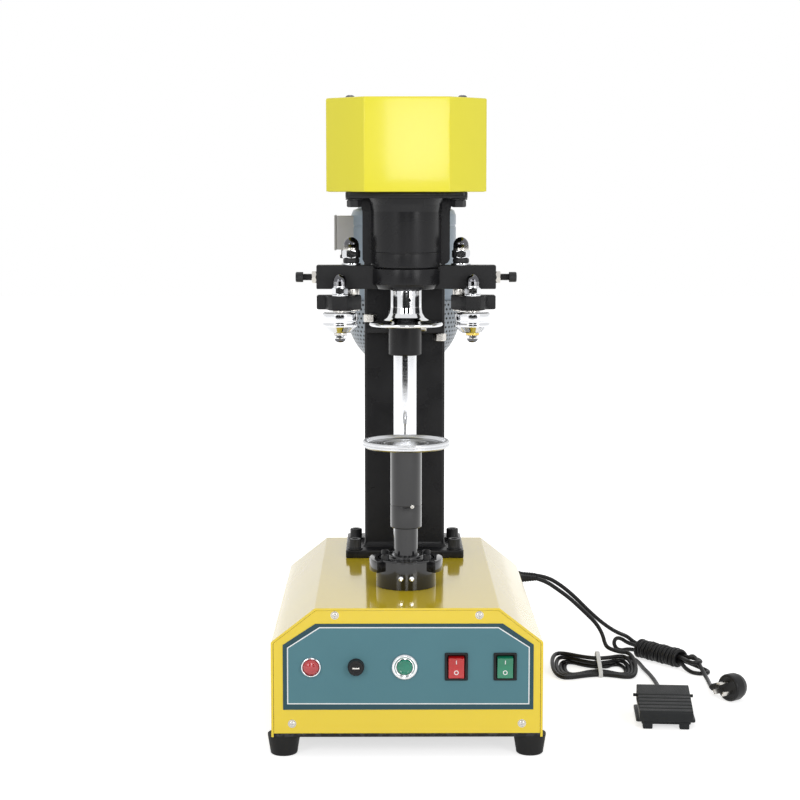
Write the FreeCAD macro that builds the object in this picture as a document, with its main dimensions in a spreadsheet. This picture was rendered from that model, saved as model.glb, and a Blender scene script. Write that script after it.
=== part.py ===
import FreeCAD, Part
import math
import os
import Sketcher

# Can seamer, millimetres. Origin: can axis on the floor, +Z up, front towards -Y.
doc = FreeCAD.newDocument("CanSeamer")
V = FreeCAD.Vector
Rot = FreeCAD.Rotation

D = {
    "baseHalf": 150.0, "baseFront": -122.0, "baseDepth": 420.0, "baseBottom": 23.0, "baseTop": 168.0,
    "cornerHeight": 130.0, "topHalf": 101.4, "wallThick": 2.5, "panelThick": 2.0, "labelThick": 0.8,
    "controlHeight": 102.6, "footHeight": 23.0, "footTop": 18.2, "footBottom": 14.8,
    "columnWidth": 100.0, "columnDepth": 78.0, "columnFront": 183.0, "columnTop": 615.0,
    "plateTop": 178.0, "rodRadius": 13.5, "rodBore": 13.56, "rodBottom": 63.0, "rodTop": 288.0,
    "sleeveRadius": 18.0, "sleeveBottom": 236.4, "sleeveTop": 329.5, "platformRadius": 50.0,
    "platformTop": 338.0, "guideRadius": 14.4, "guideY": 132.0, "guideTop": 478.0,
    "housingRadius": 40.0, "housingBottom": 536.2, "plateBottom": 615.0, "headBottom": 622.4,
    "headTop": 726.2, "headSheet": 2.0, "barLength": 204.0, "barDepth": 26.0, "barBottom": 512.4,
    "barTop": 539.2, "spindleRadius": 17.5, "spindleBore": 11.0, "spindleTop": 700.0,
    "pivotX": 62.5, "pivotRadius": 6.0, "rollerX": 75.0, "rollerY": -24.0, "armBottom": 489.0,
    "armTop": 505.0, "pinRadius": 5.0, "rollerRadius": 20.0, "chuckRadius": 42.0, "chuckBottom": 469.6,
    "chuckTop": 511.9, "collarRadius": 17.5, "shaftRadius": 10.4, "motorY": 338.0, "motorRadius": 69.0,
    "motorShaft": 9.5, "fanCoverRadius": 75.0, "spindleGroove": 44.0, "motorGroove": 22.0,
    "beltGap": 0.3, "beltThick": 8.0, "beltWidth": 12.0, "cordRadius": 2.7,
}
sheet = doc.addObject("Spreadsheet::Sheet", "Dims")
for row, alias in enumerate(D, 1):
    sheet.set("A%d" % row, alias)
    sheet.set("B%d" % row, str(D[alias]))
    sheet.setAlias("B%d" % row, alias)
doc.recompute()


# A size is a number, an alias of the sheet, or (alias, offset).
def val(size):
    if isinstance(size, str):
        return D[size]
    if isinstance(size, tuple):
        return D[size[0]] + size[1]
    return float(size)


def expr(size):
    if isinstance(size, str):
        return "Dims." + size
    if isinstance(size, tuple):
        return "Dims.%s + (%s)" % size
    return None


def setsize(obj, prop, size):
    setattr(obj, prop, val(size))
    if expr(size):
        obj.setExpression(prop, expr(size))


TURN = {"z": Rot(), "y": Rot(V(1, 0, 0), -90), "-y": Rot(V(1, 0, 0), 90),
        "x": Rot(V(0, 1, 0), 90), "-x": Rot(V(0, 1, 0), -90), "-z": Rot(V(1, 0, 0), 180)}


def place(obj, base, axis="z"):
    obj.Placement = FreeCAD.Placement(V(*[val(c) for c in base]), TURN[axis])
    for letter, size in zip("xyz", base):
        if expr(size):
            obj.setExpression("Placement.Base." + letter, expr(size))
    return obj


def box(name, size, corner):
    obj = doc.addObject("Part::Box", name)
    for prop, value in zip(("Length", "Width", "Height"), size):
        setsize(obj, prop, value)
    return place(obj, corner)


def cyl(name, radius, height, base, axis="z"):
    obj = doc.addObject("Part::Cylinder", name)
    setsize(obj, "Radius", radius)
    setsize(obj, "Height", height)
    return place(obj, base, axis)


def cone(name, first, second, height, base, axis="z"):
    obj = doc.addObject("Part::Cone", name)
    setsize(obj, "Radius1", first)
    setsize(obj, "Radius2", second)
    setsize(obj, "Height", height)
    return place(obj, base, axis)


def fuse(name, parts):
    obj = doc.addObject("Part::MultiFuse", name)
    obj.Shapes = parts
    return obj


def cut(name, base, tools):
    obj = doc.addObject("Part::Cut", name)
    obj.Base = base
    obj.Tool = tools[0] if len(tools) == 1 else fuse(name + "_tools", tools)
    return obj


def group(name, parts):
    obj = doc.addObject("Part::Compound", name)
    obj.Links = parts
    return obj


def mirrored(name, source):
    obj = doc.addObject("Part::Mirroring", name)
    obj.Source = source
    obj.Normal = V(1, 0, 0)
    return obj


def sketch(body, role, name):
    plane = [f for f in body.Origin.OriginFeatures if f.Role == role][0]
    sk = body.newObject("Sketcher::SketchObject", name)
    sk.AttachmentSupport = [(plane, "")]
    sk.MapMode = "FlatFace"
    return sk


# Closed loop of corners. A corner marked "mid" is the middle of an arc.
def loop(sk, corners):
    count = len(corners)
    edges = []
    i = 0
    while i < count:
        start = corners[i]
        middle = corners[(i + 1) % count]
        if len(middle) == 3:
            edges.append((start, middle, corners[(i + 2) % count]))
            i += 2
        else:
            edges.append((start, None, middle))
            i += 1
    first = sk.GeometryCount
    for start, middle, end in edges:
        a = V(val(start[0]), val(start[1]), 0)
        b = V(val(end[0]), val(end[1]), 0)
        if middle is None:
            sk.addGeometry(Part.LineSegment(a, b), False)
        else:
            sk.addGeometry(Part.Arc(a, V(val(middle[0]), val(middle[1]), 0), b), False)
    for i, (start, middle, end) in enumerate(edges):
        for kind, size in (("DistanceX", start[0]), ("DistanceY", start[1])):
            if expr(size) and val(size) > 0 and middle is None and edges[i - 1][1] is None:
                number = sk.addConstraint(Sketcher.Constraint(kind, -1, 1, first + i, 1, val(size)))
                sk.setExpression("Constraints[%d]" % number, expr(size))


def circle(sk, x, y, radius):
    index = sk.addGeometry(Part.Circle(V(val(x), val(y), 0), V(0, 0, 1), val(radius)), False)
    number = sk.addConstraint(Sketcher.Constraint("Radius", index, val(radius)))
    if expr(radius):
        sk.setExpression("Constraints[%d]" % number, expr(radius))


# Body of revolution about its own Z, profile as (radius, height).
def turned(name, profile, base=(0, 0, 0), axis="z"):
    body = doc.addObject("PartDesign::Body", name)
    sk = sketch(body, "XZ_Plane", name + "_profile")
    loop(sk, profile)
    rev = body.newObject("PartDesign::Revolution", name + "_turn")
    rev.Profile = sk
    rev.ReferenceAxis = (sk, ["V_Axis"])
    rev.Angle = 360
    body.Tip = rev
    return place(body, base, axis)


# Padded body: loops in the plane, raised from start along +Z, +Y or +X.
def prism(name, loops, start, length, plane="xy"):
    role = {"xy": "XY_Plane", "xz": "XZ_Plane", "yz": "YZ_Plane"}[plane]
    body = doc.addObject("PartDesign::Body", name)
    sk = sketch(body, role, name + "_outline")
    for item in loops:
        if item[0] == "circle":
            circle(sk, *item[1:])
        else:
            loop(sk, item)
    pad = body.newObject("PartDesign::Pad", name + "_pad")
    pad.Profile = sk
    setsize(pad, "Length", length)
    pad.Reversed = plane == "xz"
    body.Tip = pad
    base = {"xy": (0, 0, start), "xz": (0, start, 0), "yz": (start, 0, 0)}[plane]
    return place(body, base)


def rect(x, y, half_x, half_y):
    return [(x - half_x, y - half_y), (x + half_x, y - half_y), (x + half_x, y + half_y), (x - half_x, y + half_y)]


def hexagon(x, y, radius):
    return [(x + radius * math.cos(math.radians(a)), y + radius * math.sin(math.radians(a)))
            for a in range(0, 360, 60)]


# Counter-clockwise polygon moved inwards: meeting points of the shifted sides.
def inset(points, distance):
    result = []
    for i, here in enumerate(points):
        before = points[i - 1]
        after = points[(i + 1) % len(points)]
        first = math.hypot(here[0] - before[0], here[1] - before[1])
        second = math.hypot(after[0] - here[0], after[1] - here[1])
        ax, ay = (here[0] - before[0]) / first, (here[1] - before[1]) / first
        bx, by = (after[0] - here[0]) / second, (after[1] - here[1]) / second
        slide = ((ay - by) * by - (bx - ax) * bx) * distance / (ax * by - ay * bx)
        result.append((here[0] - ay * distance + ax * slide, here[1] + ax * distance + ay * slide))
    return result


# Middle of the round cap from (radius, level) to the axis at peak, centred on the axis.
def crown(radius, level, peak):
    middle = (peak * peak - level * level - radius * radius) / (2 * (peak - level))
    ball = peak - middle
    angle = math.atan2(radius, (level - middle) * math.copysign(1, ball)) / 2
    return (abs(ball) * math.sin(angle), middle + ball * math.cos(angle), "mid")


nodes = {}


def node(name, obj):
    obj.Label = name
    nodes[name] = obj
    return obj


# ---- base box ----
half, low, top = D["baseHalf"], D["baseBottom"], D["baseTop"]
front = D["baseFront"]
rear = front + D["baseDepth"]
section = [(-half, low), (half, low), (half, D["cornerHeight"]), (D["topHalf"], top),
           (-D["topHalf"], top), (-half, D["cornerHeight"])]
inner = inset(section, D["wallThick"])
outer_path = [section[0], section[5], section[4], section[3], section[2], section[1]]
inner_path = [(inner[1][0], low), inner[2], inner[3], inner[4], inner[5], (inner[0][0], low)]
boltSpots = [(x, y) for x in (-62.0, 62.0) for y in (168.0, 240.0)]
screwSpots = [(-79.5, 160.0), (79.5, 160.0), (-127.0, 38.0), (127.0, 38.0)]
reliefSpots = [(268.0, 123.0), (256.0, 121.5)]

shell = prism("cover_shell", [outer_path + inner_path], "baseFront", "baseDepth", "xz")
tabs = []
for x, z in screwSpots:
    if z > 100:
        tabs.append(box("cover_tab", (14, 2.5, 12.5), (x - 7, front + 2.5, top - 15)))
    else:
        tabs.append(box("cover_tab", (27.6, 2.5, 16), (-147.6 if x < 0 else 120, front + 2.5, 30)))
tools = [cyl("hub_hole", 24.1, 10, (0, 0, 160)), cyl("guide_hole", ("guideRadius", 0.1), 10, (0, "guideY", 160))]
for x, y in boltSpots:
    tools.append(cyl("bolt_hole", 5.2, 10, (x, y, 160)))
for y, z in reliefSpots:
    tools.append(cyl("cord_hole", 5.0, 10, (144, y, z), "x"))
for x, z in screwSpots:
    tools.append(cyl("tab_hole", 1.6, 6, (x, front + 1, z), "y"))
node("base_cover", cut("base_cover", fuse("cover_plain", [shell] + tabs), tools))

bottom = box("tray_floor", (294.4, "baseDepth", 2.5), (-147.2, "baseFront", "baseBottom"))
lip = box("tray_lip", (294.4, 2.3, 1.4), (-147.2, "baseFront", 25.4))
rearPoints = inset(section, 2.8)
rearPoints[0] = (rearPoints[0][0], 25.0)
rearPoints[1] = (rearPoints[1][0], 25.0)
slots = [rect(x, 60.0, 3.0, 16.0) for x in range(-60, 61, 20)]
rearWall = prism("tray_rear", [rearPoints] + slots, rear - 2.5, 2.5, "xz")
mount = box("tray_mount", (192, 325, 8.5), (-96, -40, 157))
sides = [box("tray_side", (6, 325, 133), (x, -40, 25)) for x in (-96, 90)]
tools = [cyl("mount_hub", 24.0, 12, (0, 0, 155))]
for x, y in boltSpots:
    tools.append(cyl("mount_bolt", 5.0, 12, (x, y, 155)))
node("chassis", cut("chassis", fuse("tray_plain", [bottom, lip, rearWall, mount] + sides), tools))

# ---- front panel, label and controls ----
height = D["controlHeight"]
lampX, fuseX, jogX, redX, greenX = -105.7, -56.2, -2.7, 54.2, 108.0
openings = [("circle", lampX, height, 7.9), ("circle", fuseX, height, 6.4), ("circle", jogX, height, 10.7),
            rect(redX, height, 11.1, 14.1), rect(greenX, height, 11.1, 14.1)]
panelPoints = inset(section, 2.9)
panelPoints[0] = (panelPoints[0][0], 27.0)
panelPoints[1] = (panelPoints[1][0], 27.0)
panelHoles = openings + [("circle", x, z, 1.6) for x, z in screwSpots]
node("front_panel", prism("front_panel", [panelPoints] + panelHoles, ("baseFront", 0.5), "panelThick", "xz"))
labelPoints = [(-136.8, 54.0), (139.4, 54.0), (139.4, 126.9), (105.4, 150.6), (-101.0, 150.6), (-136.8, 126.9)]
node("label_plate", prism("label_plate", [labelPoints] + openings, ("baseFront", -0.3), "labelThick", "xz"))
face = front - 0.3

screws = []
for x, z in screwSpots:
    head = turned("panel_screw_head", [(0, 0), (3.9, 0), (3.9, 0.8), (2.6, 2.2), (0, 2.6)], (x, front + 0.5, z), "-y")
    shank = cyl("panel_screw_shank", 1.6, 8, (x, front + 0.5, z), "y")
    slot = box("panel_screw_slot", (4.6, 1.4, 0.7), (x - 2.3, front - 2.3, z - 0.35))
    screws.append(cut("panel_screw", fuse("panel_screw_plain", [head, shank]), [slot]))
node("panel_screws", group("panel_screws", screws))

bezelProfile = [(0, -26), (7.9, -26), (7.9, -7), (11, -7), (11, -2.8), (7.9, -2.8), (7.9, 0), (11.35, 0),
                (11.35, 3.2), (10.2, 4.5), (9.2, 4.5), (9.2, 1), (0, 1)]
node("lamp_bezel", turned("lamp_bezel", bezelProfile, (lampX, face, height), "-y"))
lensProfile = [(0, 1), (9.2, 1), (9.2, 3.5), crown(9.2, 3.5, 8.7), (0, 8.7)]
node("lamp_lens", turned("lamp_lens", lensProfile, (lampX, face, height), "-y"))
fuseProfile = [(0, -38), (5.5, -38), (6.4, -30), (6.4, -7), (9, -7), (9, -2.8), (6.4, -2.8), (6.4, 0),
               (9.2, 0), (9.2, 1.8), (8.8, 1.8), (8.8, 8.5), (8, 9.2), (0, 9.2)]
fuseBody = turned("fuse_plain", fuseProfile, (fuseX, face, height), "-y")
node("fuse_holder", cut("fuse_holder", fuseBody, [box("fuse_slot", (12, 1.6, 1.6), (fuseX - 6, face - 9.6, height - 0.8))]))
jogProfile = [(0, -30), (10.7, -30), (10.7, -7), (14, -7), (14, -2.8), (10.7, -2.8), (10.7, 0), (14.65, 0),
              (14.65, 2.6), (12.8, 4.8), (8.95, 4.8), (8.95, -12), (0, -12)]
node("jog_bezel", turned("jog_bezel", jogProfile, (jogX, face, height), "-y"))
buttonProfile = [(0, -8), (8.6, -8), (8.6, 4.0), (7.8, 5.2), (0, 5.2)]
node("jog_button", turned("jog_button", buttonProfile, (jogX, face, height), "-y"))

frames = []
for x in (redX, greenX):
    rim = box("rocker_rim", (25.6, 2.5, 31), (x - 12.8, face - 2.5, height - 15.5))
    back = box("rocker_back", (22.2, 22, 28.2), (x - 11.1, face, height - 14.1))
    well = box("rocker_well", (18.2, 18, 26), (x - 9.1, face - 3, height - 13))
    frames.append(cut("rocker_frame", fuse("rocker_frame_plain", [rim, back]), [well]))
node("rocker_frames", group("rocker_frames", frames))
rockerPivot = face + 3.1
tilt = math.radians(8.0)
for name, x in (("rocker_red", redX), ("rocker_green", greenX)):
    profile = []
    for y, z in ((4, -11.6), (-7.6, -11.6), (-6, 0), (-7.6, 11.6), (4, 11.6)):
        profile.append((rockerPivot + y * math.cos(tilt) - z * math.sin(tilt),
                        height + y * math.sin(tilt) + z * math.cos(tilt)))
    pin = cyl("rocker_pin", 1.6, 17.9, (x - 8.95, rockerPivot, height), "x")
    node(name, fuse(name, [prism(name + "_cap", [profile], x - 8.7, 17.4, "yz"), pin]))

# ---- feet ----
feet = []
for x in (-137.0, 137.0):
    for y in (front + 17.5, rear - 17.5):
        cup = cone("foot_cup", "footBottom", "footTop", "footHeight", (x, y, 0))
        feet.append(cut("foot", cup, [cyl("foot_recess", 6, 8, (x, y, -1))]))
node("rubber_feet", group("rubber_feet", feet))

# ---- column ----
outer = box("column_outer", ("columnWidth", "columnDepth", ("columnTop", -178.0)), (-50, "columnFront", "plateTop"))
hollow = box("column_hollow", (84, 62, 460), (-42, 191, 165))
foot = box("column_foot", (147, 120, 10), (-73.5, 157, "baseTop"))
beadRight = prism("column_bead", [[(49.5, 178), (53.5, 178), (49.5, 184)]], 183, 78, "xz")
beadLeft = mirrored("column_bead_left", beadRight)
holes = [cyl("column_hole", 5.0, 14, (x, y, 166)) for x, y in boltSpots]
node("column", cut("column", fuse("column_plain", [outer, foot, beadRight, beadLeft]), [hollow] + holes))
bolts = []
for x, y in boltSpots:
    head = cyl("column_bolt_head", 8, 13, (x, y, "plateTop"))
    shank = cyl("column_bolt_shank", 5.0, 22, (x, y, 157))
    bolts.append(cut("column_bolt", fuse("column_bolt_plain", [head, shank]),
                     [cyl("column_bolt_socket", 3.8, 7, (x, y, 185))]))
node("column_bolts", group("column_bolts", bolts))

# ---- lift ----
hubProfile = [("rodBore", 157), (24, 157), (24, 168), (34.5, 168), (34.5, 187), (42.5, 187), (42.5, 199.5),
              (41, 201), (20, 201), (20, 204), ("rodBore", 204)]
hubNotch = cut("hub_notch", box("hub_notch_box", (62, 25, 16), (-31, -50, 187)), [cyl("hub_notch_core", 34.5, 20, (0, 0, 185))])
node("lift_hub", cut("lift_hub", turned("hub_plain", hubProfile), [hubNotch]))
hubBolts = []
for x in (-24.0, 24.0):
    for y in (-15.0, 15.0):
        hubBolts.append(cut("hub_bolt", cyl("hub_bolt_head", 4.6, 5.5, (x, y, 201)),
                            [cyl("hub_bolt_socket", 2.3, 4, (x, y, 204))]))
for x in (-6.2, 6.2):
    hubBolts.append(cyl("hub_stop_screw", 2.8, 3.2, (x, -37.0, 180), "y"))
node("hub_bolts", group("hub_bolts", hubBolts))
node("lift_rod", cyl("lift_rod", "rodRadius", ("rodTop", -63.0), (0, 0, "rodBottom")))
sleeveProfile = [("rodBore", "sleeveBottom"), ("sleeveRadius", "sleeveBottom"), ("sleeveRadius", "sleeveTop"),
                 (0, "sleeveTop"), (0, 323), ("rodBore", 323)]
node("height_sleeve", turned("height_sleeve", sleeveProfile))
platformProfile = [(0, "sleeveTop"), (47.5, "sleeveTop"), ("platformRadius", 331.5), ("platformRadius", 336.8),
                   (48.8, "platformTop"), (45, "platformTop"), (42.5, 334.2), (0, 334.2)]
node("can_platform", turned("can_platform", platformProfile))
gearbox = box("actuator_box", (60, 72, 37), (-30, -32, 25.5))
tube = cyl("actuator_tube", 20, 88, (0, 0, 62))
drive = cyl("actuator_motor", 22, 90, (0, 39, 50), "y")
node("lift_actuator", cut("lift_actuator", fuse("actuator_plain", [gearbox, tube, drive]),
                          [cyl("actuator_bore", 13.9, 92, (0, 0, 62.5))]))

# ---- guide post behind the platform ----
node("guide_post", cyl("guide_post", "guideRadius", ("guideTop", -165.5), (0, "guideY", 165.5)))
ring = cyl("bracket_ring", 20.2, 55, (0, "guideY", 425))
arm = box("bracket_arm", (26, 35.8, 30), (-13, 147.2, 440))
cross = box("bracket_plate", (98, 12, 14), (-49, 171, 448))
tools = [cyl("bracket_bore", "guideRadius", 70, (0, "guideY", 420)),
         cyl("bracket_hole", 4, 20, (-43, 175.5, 445)), cyl("bracket_hole", 4, 20, (43.5, 175.5, 445))]
node("guide_bracket", cut("guide_bracket", fuse("bracket_plain", [ring, arm, cross]), tools))
left = fuse("bracket_bolt_left", [cyl("bracket_stud", 4, 26, (-43, 175.5, 446)),
                                  prism("bracket_nut", [hexagon(-43, 175.5, 8.0)], 462, 9.5)])
right = fuse("bracket_bolt_right", [cyl("bracket_stud", 4, 24, (43.5, 175.5, 440)),
                                    prism("bracket_nut", [hexagon(43.5, 175.5, 8.0)], 438.5, 9.5)])
node("bracket_bolts", group("bracket_bolts", [left, right]))

# ---- head casting and covers ----
barrel = cyl("casting_barrel", "housingRadius", 78.8, (0, 0, "housingBottom"))
ribs = box("casting_ribs", (95, 10, 72), (-47.5, -5, 543))
web = box("casting_web", (68, 153, 39), (-34, 30, 576))
back = box("casting_back", (100, 12, 110), (-50, 171, 505))
tools = [cyl("casting_lower", 31, 22, (0, 0, 534)), cyl("casting_upper", 31, 22, (0, 0, 595)),
         cyl("casting_middle", 24, 60, (0, 0, 545))]
node("head_casting", cut("head_casting", fuse("casting_plain", [barrel, ribs, web, back]), tools))
rings = []
for z in (540, 595):
    rings.append(turned("bearing", [(17.56, z), (31, z), (31, z + 16), (17.56, z + 16)]))
node("spindle_bearings", group("spindle_bearings", rings))

plateSpots = [(-58.5, -35.0), (58.5, -35.0), (-58.5, 60.0), (58.5, 60.0)]
plate = box("plate_plain", (136, 463, 7), (-68, -50, "plateBottom"))
tools = [cyl("plate_spindle", 19, 12, (0, 0, 613)), cyl("plate_motor", 20, 12, (0, "motorY", 613))]
for x, y in plateSpots:
    tools.append(cyl("plate_hole", 4, 12, (x, y, 613)))
node("top_plate", cut("top_plate", plate, tools))
bolts = []
for x, y in plateSpots:
    bolts.append(fuse("plate_bolt", [prism("plate_bolt_head", [hexagon(x, y, 8.2)], 605, 10),
                                     cyl("plate_bolt_shank", 4, 17, (x, y, 605))]))
node("plate_bolts", group("plate_bolts", bolts))

outline = [(-47, -65), (47, -65), (90, -22), (90, 372), (47, 415), (-47, 415), (-90, 372), (-90, -22)]
postSpots = [(-63.0, -16.0), (63.0, -16.0), (-63.0, 360.0), (63.0, 360.0)]
skin = prism("cover_skin", [outline], "headBottom", ("headTop", -622.4))
room = prism("cover_room", [inset(outline, D["headSheet"])], 620, 104.2)
tools = [room] + [cyl("cover_hole", 2.6, 8, (x, y, 720)) for x, y in postSpots]
node("head_cover", cut("head_cover", skin, tools))
floor = prism("head_floor", [inset(outline, 2.4), ("circle", 0, 0, 19), ("circle", 0, D["motorY"], 20)], 622, 2)
posts = [cyl("head_post", 5, 100.3, (x, y, 623.9)) for x, y in postSpots]
tools = [cyl("post_hole", 2.5, 14, (x, y, 712)) for x, y in postSpots]
node("head_tray", cut("head_tray", fuse("head_tray_plain", [floor] + posts), tools))
caps = []
for x, y in postSpots:
    dome = turned("cap_dome", [(0, 0), (5.6, 0), crown(5.6, 0, 3.9), (0, 3.9)], (x, y, "headTop"))
    caps.append(fuse("cover_screw", [dome, cyl("cap_shank", 2.5, 12, (x, y, 714.5))]))
node("cover_screws", group("cover_screws", caps))

# ---- motor ----
bodyProfile = [(9.9, 470), ("motorRadius", 470), ("motorRadius", 592), (66.6, 598.2, "mid"), (60, 601),
               (60, 615), (9.9, 615)]
node("motor_body", turned("motor_body", bodyProfile, (0, "motorY", 0)))
reach = D["fanCoverRadius"]
center = 462.5
sweep = math.asin((center - 402.0) / reach)
innerSweep = math.asin((center - 404.0) / (reach - 2))
fanProfile = [(reach, 482), (reach, center),
              (reach * math.cos(sweep / 2), center - reach * math.sin(sweep / 2), "mid"),
              (reach * math.cos(sweep), 402), (0, 402), (0, 404), ((reach - 2) * math.cos(innerSweep), 404),
              ((reach - 2) * math.cos(innerSweep / 2), center - (reach - 2) * math.sin(innerSweep / 2), "mid"),
              (reach - 2, center), (reach - 2, 474), (69, 474), (69, 482)]
node("fan_cover", turned("fan_cover", fanProfile, (0, "motorY", 0)))
node("terminal_box", cut("terminal_box", box("terminal_plain", (31, 44, 46), (-91, 316, 546)),
                         [cyl("terminal_cut", "motorRadius", 60, (0, "motorY", 540))]))
shaft = cyl("motor_shaft_bar", "motorShaft", 251, (0, "motorY", 425))
fan = cyl("motor_fan", 52, 18, (0, "motorY", 430))
pulley = [("motorShaft", 644), (16, 644), (16, 652), (27, 652), (27, 655.2), ("motorGroove", 655.2),
          ("motorGroove", 668.8), (27, 668.8), (27, 672), ("motorShaft", 672)]
wheel = turned("motor_pulley", pulley, (0, "motorY", 0))
node("motor_shaft", group("motor_shaft", [fuse("motor_shaft_fused", [shaft, fan]), wheel]))


# Open belt: arcs on both pulleys joined by the outer tangents.
def belt_face(big, small, span):
    angle = math.acos((big - small) / span)
    bx, by = big * math.sin(angle), big * math.cos(angle)
    sx, sy = small * math.sin(angle), span + small * math.cos(angle)
    edges = [Part.Arc(V(bx, by, 0), V(0, -big, 0), V(-bx, by, 0)).toShape(),
             Part.LineSegment(V(-bx, by, 0), V(-sx, sy, 0)).toShape(),
             Part.Arc(V(-sx, sy, 0), V(0, span + small, 0), V(sx, sy, 0)).toShape(),
             Part.LineSegment(V(sx, sy, 0), V(bx, by, 0)).toShape()]
    return Part.Face(Part.Wire(edges))


gap = D["beltGap"]
thick = D["beltThick"]
beltInner = belt_face(D["spindleGroove"] + gap, D["motorGroove"] + gap, D["motorY"])
beltOuter = belt_face(D["spindleGroove"] + gap + thick, D["motorGroove"] + gap + thick, D["motorY"])
belt = doc.addObject("Part::Feature", "drive_belt")
belt.Shape = beltOuter.cut(beltInner).extrude(V(0, 0, D["beltWidth"]))
place(belt, (0, 0, 656))
node("drive_belt", belt)

# ---- spindle and crossbar ----
spindleProfile = [("spindleBore", 512.6), ("spindleRadius", 512.6), ("spindleRadius", "spindleTop"),
                  ("spindleBore", "spindleTop")]
node("spindle", turned("spindle", spindleProfile))
pulley = [("spindleRadius", 644), (28, 644), (28, 652), (49, 652), (49, 655.2), ("spindleGroove", 655.2),
          ("spindleGroove", 668.8), (49, 668.8), (49, 672), (28, 672), (28, 684), ("spindleRadius", 684)]
node("spindle_pulley", turned("spindle_pulley", pulley))
bar = box("bar_plain", ("barLength", "barDepth", ("barTop", -512.4)), (-102, -13, "barBottom"))
hub = turned("bar_hub", [(5, 512.4), (34, 512.4), ("housingRadius", 518.4), ("housingRadius", 535.8), (5, 535.8)])
tools = [cyl("bar_clear", 41, 6, (0, 0, 535.8)), cyl("bar_bore", "spindleRadius", 30, (0, 0, 510))]
for x in (-62.5, 62.5):
    tools.append(cyl("bar_pivot", "pivotRadius", 30, (x, 0, 511)))
tools.append(cyl("bar_thread", 4, 20, (84, 0, 525.5), "x"))
tools.append(cyl("bar_thread", 4, 20, (-84, 0, 525.5), "-x"))
node("crossbar", cut("crossbar", fuse("bar_fused", [bar, hub]), tools))

pivots = []
screws = []
nuts = []
for side in (-1, 1):
    x = side * D["pivotX"]
    stem = turned("pivot_stem", [(0, 487.1), (9.5, 487.1), (9.5, 488.7), (6, 488.7), (6, 505.4), (9.5, 505.4),
                                 (9.5, 512.4), (6, 512.4), (6, 539.2), (11.3, 539.2), (11.3, 542.6),
                                 (9, 543.4), (9, 562), crown(9, 562, 571), (0, 571)], (x, 0, 0))
    pivots.append(fuse("pivot_bolt", [stem, prism("pivot_hex", [hexagon(x, 0, 10.4)], 547.5, 9.5)]))
    axis = "x" if side > 0 else "-x"
    shank = cyl("adjust_shank", 4, 34, (side * 84, 0, 525.5), axis)
    head = cyl("adjust_head", 5.8, 8.5, (side * 117.5, 0, 525.5), axis)
    socket = cyl("adjust_socket", 2.9, 4, (side * 122.5, 0, 525.5), axis)
    screws.append(cut("adjusting_screw", fuse("adjust_plain", [shank, head]), [socket]))
    start = 102.0 if side > 0 else -107.5
    nuts.append(prism("lock_nut", [hexagon(0, 525.5, 7.6), ("circle", 0, 525.5, 4)], start, 5.5, "yz"))
node("pivot_bolts", group("pivot_bolts", pivots))
node("adjusting_screws", group("adjusting_screws", screws + nuts))

armOutline = [(51, -8), (61, -26), (67, -35.5), (83, -35.5), (88, -28), (92, -13), (102, -11), (102, 10),
              (60, 12.5), (51.5, 8)]
armRight = prism("arm_right", [armOutline, ("circle", D["pivotX"], 0, 6.06),
                               ("circle", D["rollerX"], D["rollerY"], D["pinRadius"])], "armBottom", ("armTop", -489.0))
node("roller_arm_right", armRight)
node("roller_arm_left", mirrored("arm_left", armRight))


def roller_pin(name, side):
    x, y = side * D["rollerX"], D["rollerY"]
    stem = turned(name + "_stem", [(0, 452.3), crown(6.6, 457, 452.3), (6.6, 457), (7.6, 457), (7.6, 463.7),
                                   ("pinRadius", 463.7), ("pinRadius", 487.1), (8, 487.1), (8, 489),
                                   ("pinRadius", 489), ("pinRadius", 505), (9.2, 505), (9.2, 507), (7.8, 507.2),
                                   (7.8, 522), crown(7.8, 522, 530), (0, 530)], (x, y, 0))
    lower = prism(name + "_hex_low", [hexagon(x, y, 8.3)], 457, 4)
    upper = prism(name + "_hex_up", [hexagon(x, y, 8.9)], 507.2, 8)
    return node(name, fuse(name, [stem, lower, upper]))


roller_pin("roller_pin_left", -1)
roller_pin("roller_pin_right", 1)
rollerProfile = [(5.06, 464), (12.5, 464), (19, 470.5), ("rollerRadius", 471), ("rollerRadius", 474),
                 (19.1, 474.6), (19.1, 477), ("rollerRadius", 477.6), ("rollerRadius", 485), (18.4, 486.7), (5.06, 486.7)]
node("roller_left", turned("roller_left", rollerProfile, (-D["rollerX"], "rollerY", 0)))
node("roller_right", turned("roller_right", rollerProfile, ("rollerX", "rollerY", 0)))

# ---- chuck on its still shaft ----
chuckProfile = [(0, "chuckBottom"), (40.5, "chuckBottom"), ("chuckRadius", 470.6), ("chuckRadius", 473.5),
                (36, 474.2), (26, 476.5), (19.6, 483.0, "mid"), ("collarRadius", 492), ("collarRadius", 510.9),
                (16.5, "chuckTop"), ("shaftRadius", "chuckTop"), ("shaftRadius", 480), (0, 480)]
chuckBody = turned("chuck_plain", chuckProfile)
node("chuck", cut("chuck", chuckBody, [cyl("chuck_hole", 2.4, 12, (2.7, -22, 500), "y")]))
stem = cyl("chuck_stem", "shaftRadius", 236, (0, 0, 480))
beam = box("chuck_beam", (160, 18, 8), (-80, -9, 704))
legs = [box("chuck_leg", (8, 18, 80.5), (x, -9, 624)) for x in (-80, 72)]
node("chuck_shaft", fuse("chuck_shaft", [stem, beam] + legs))


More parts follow.
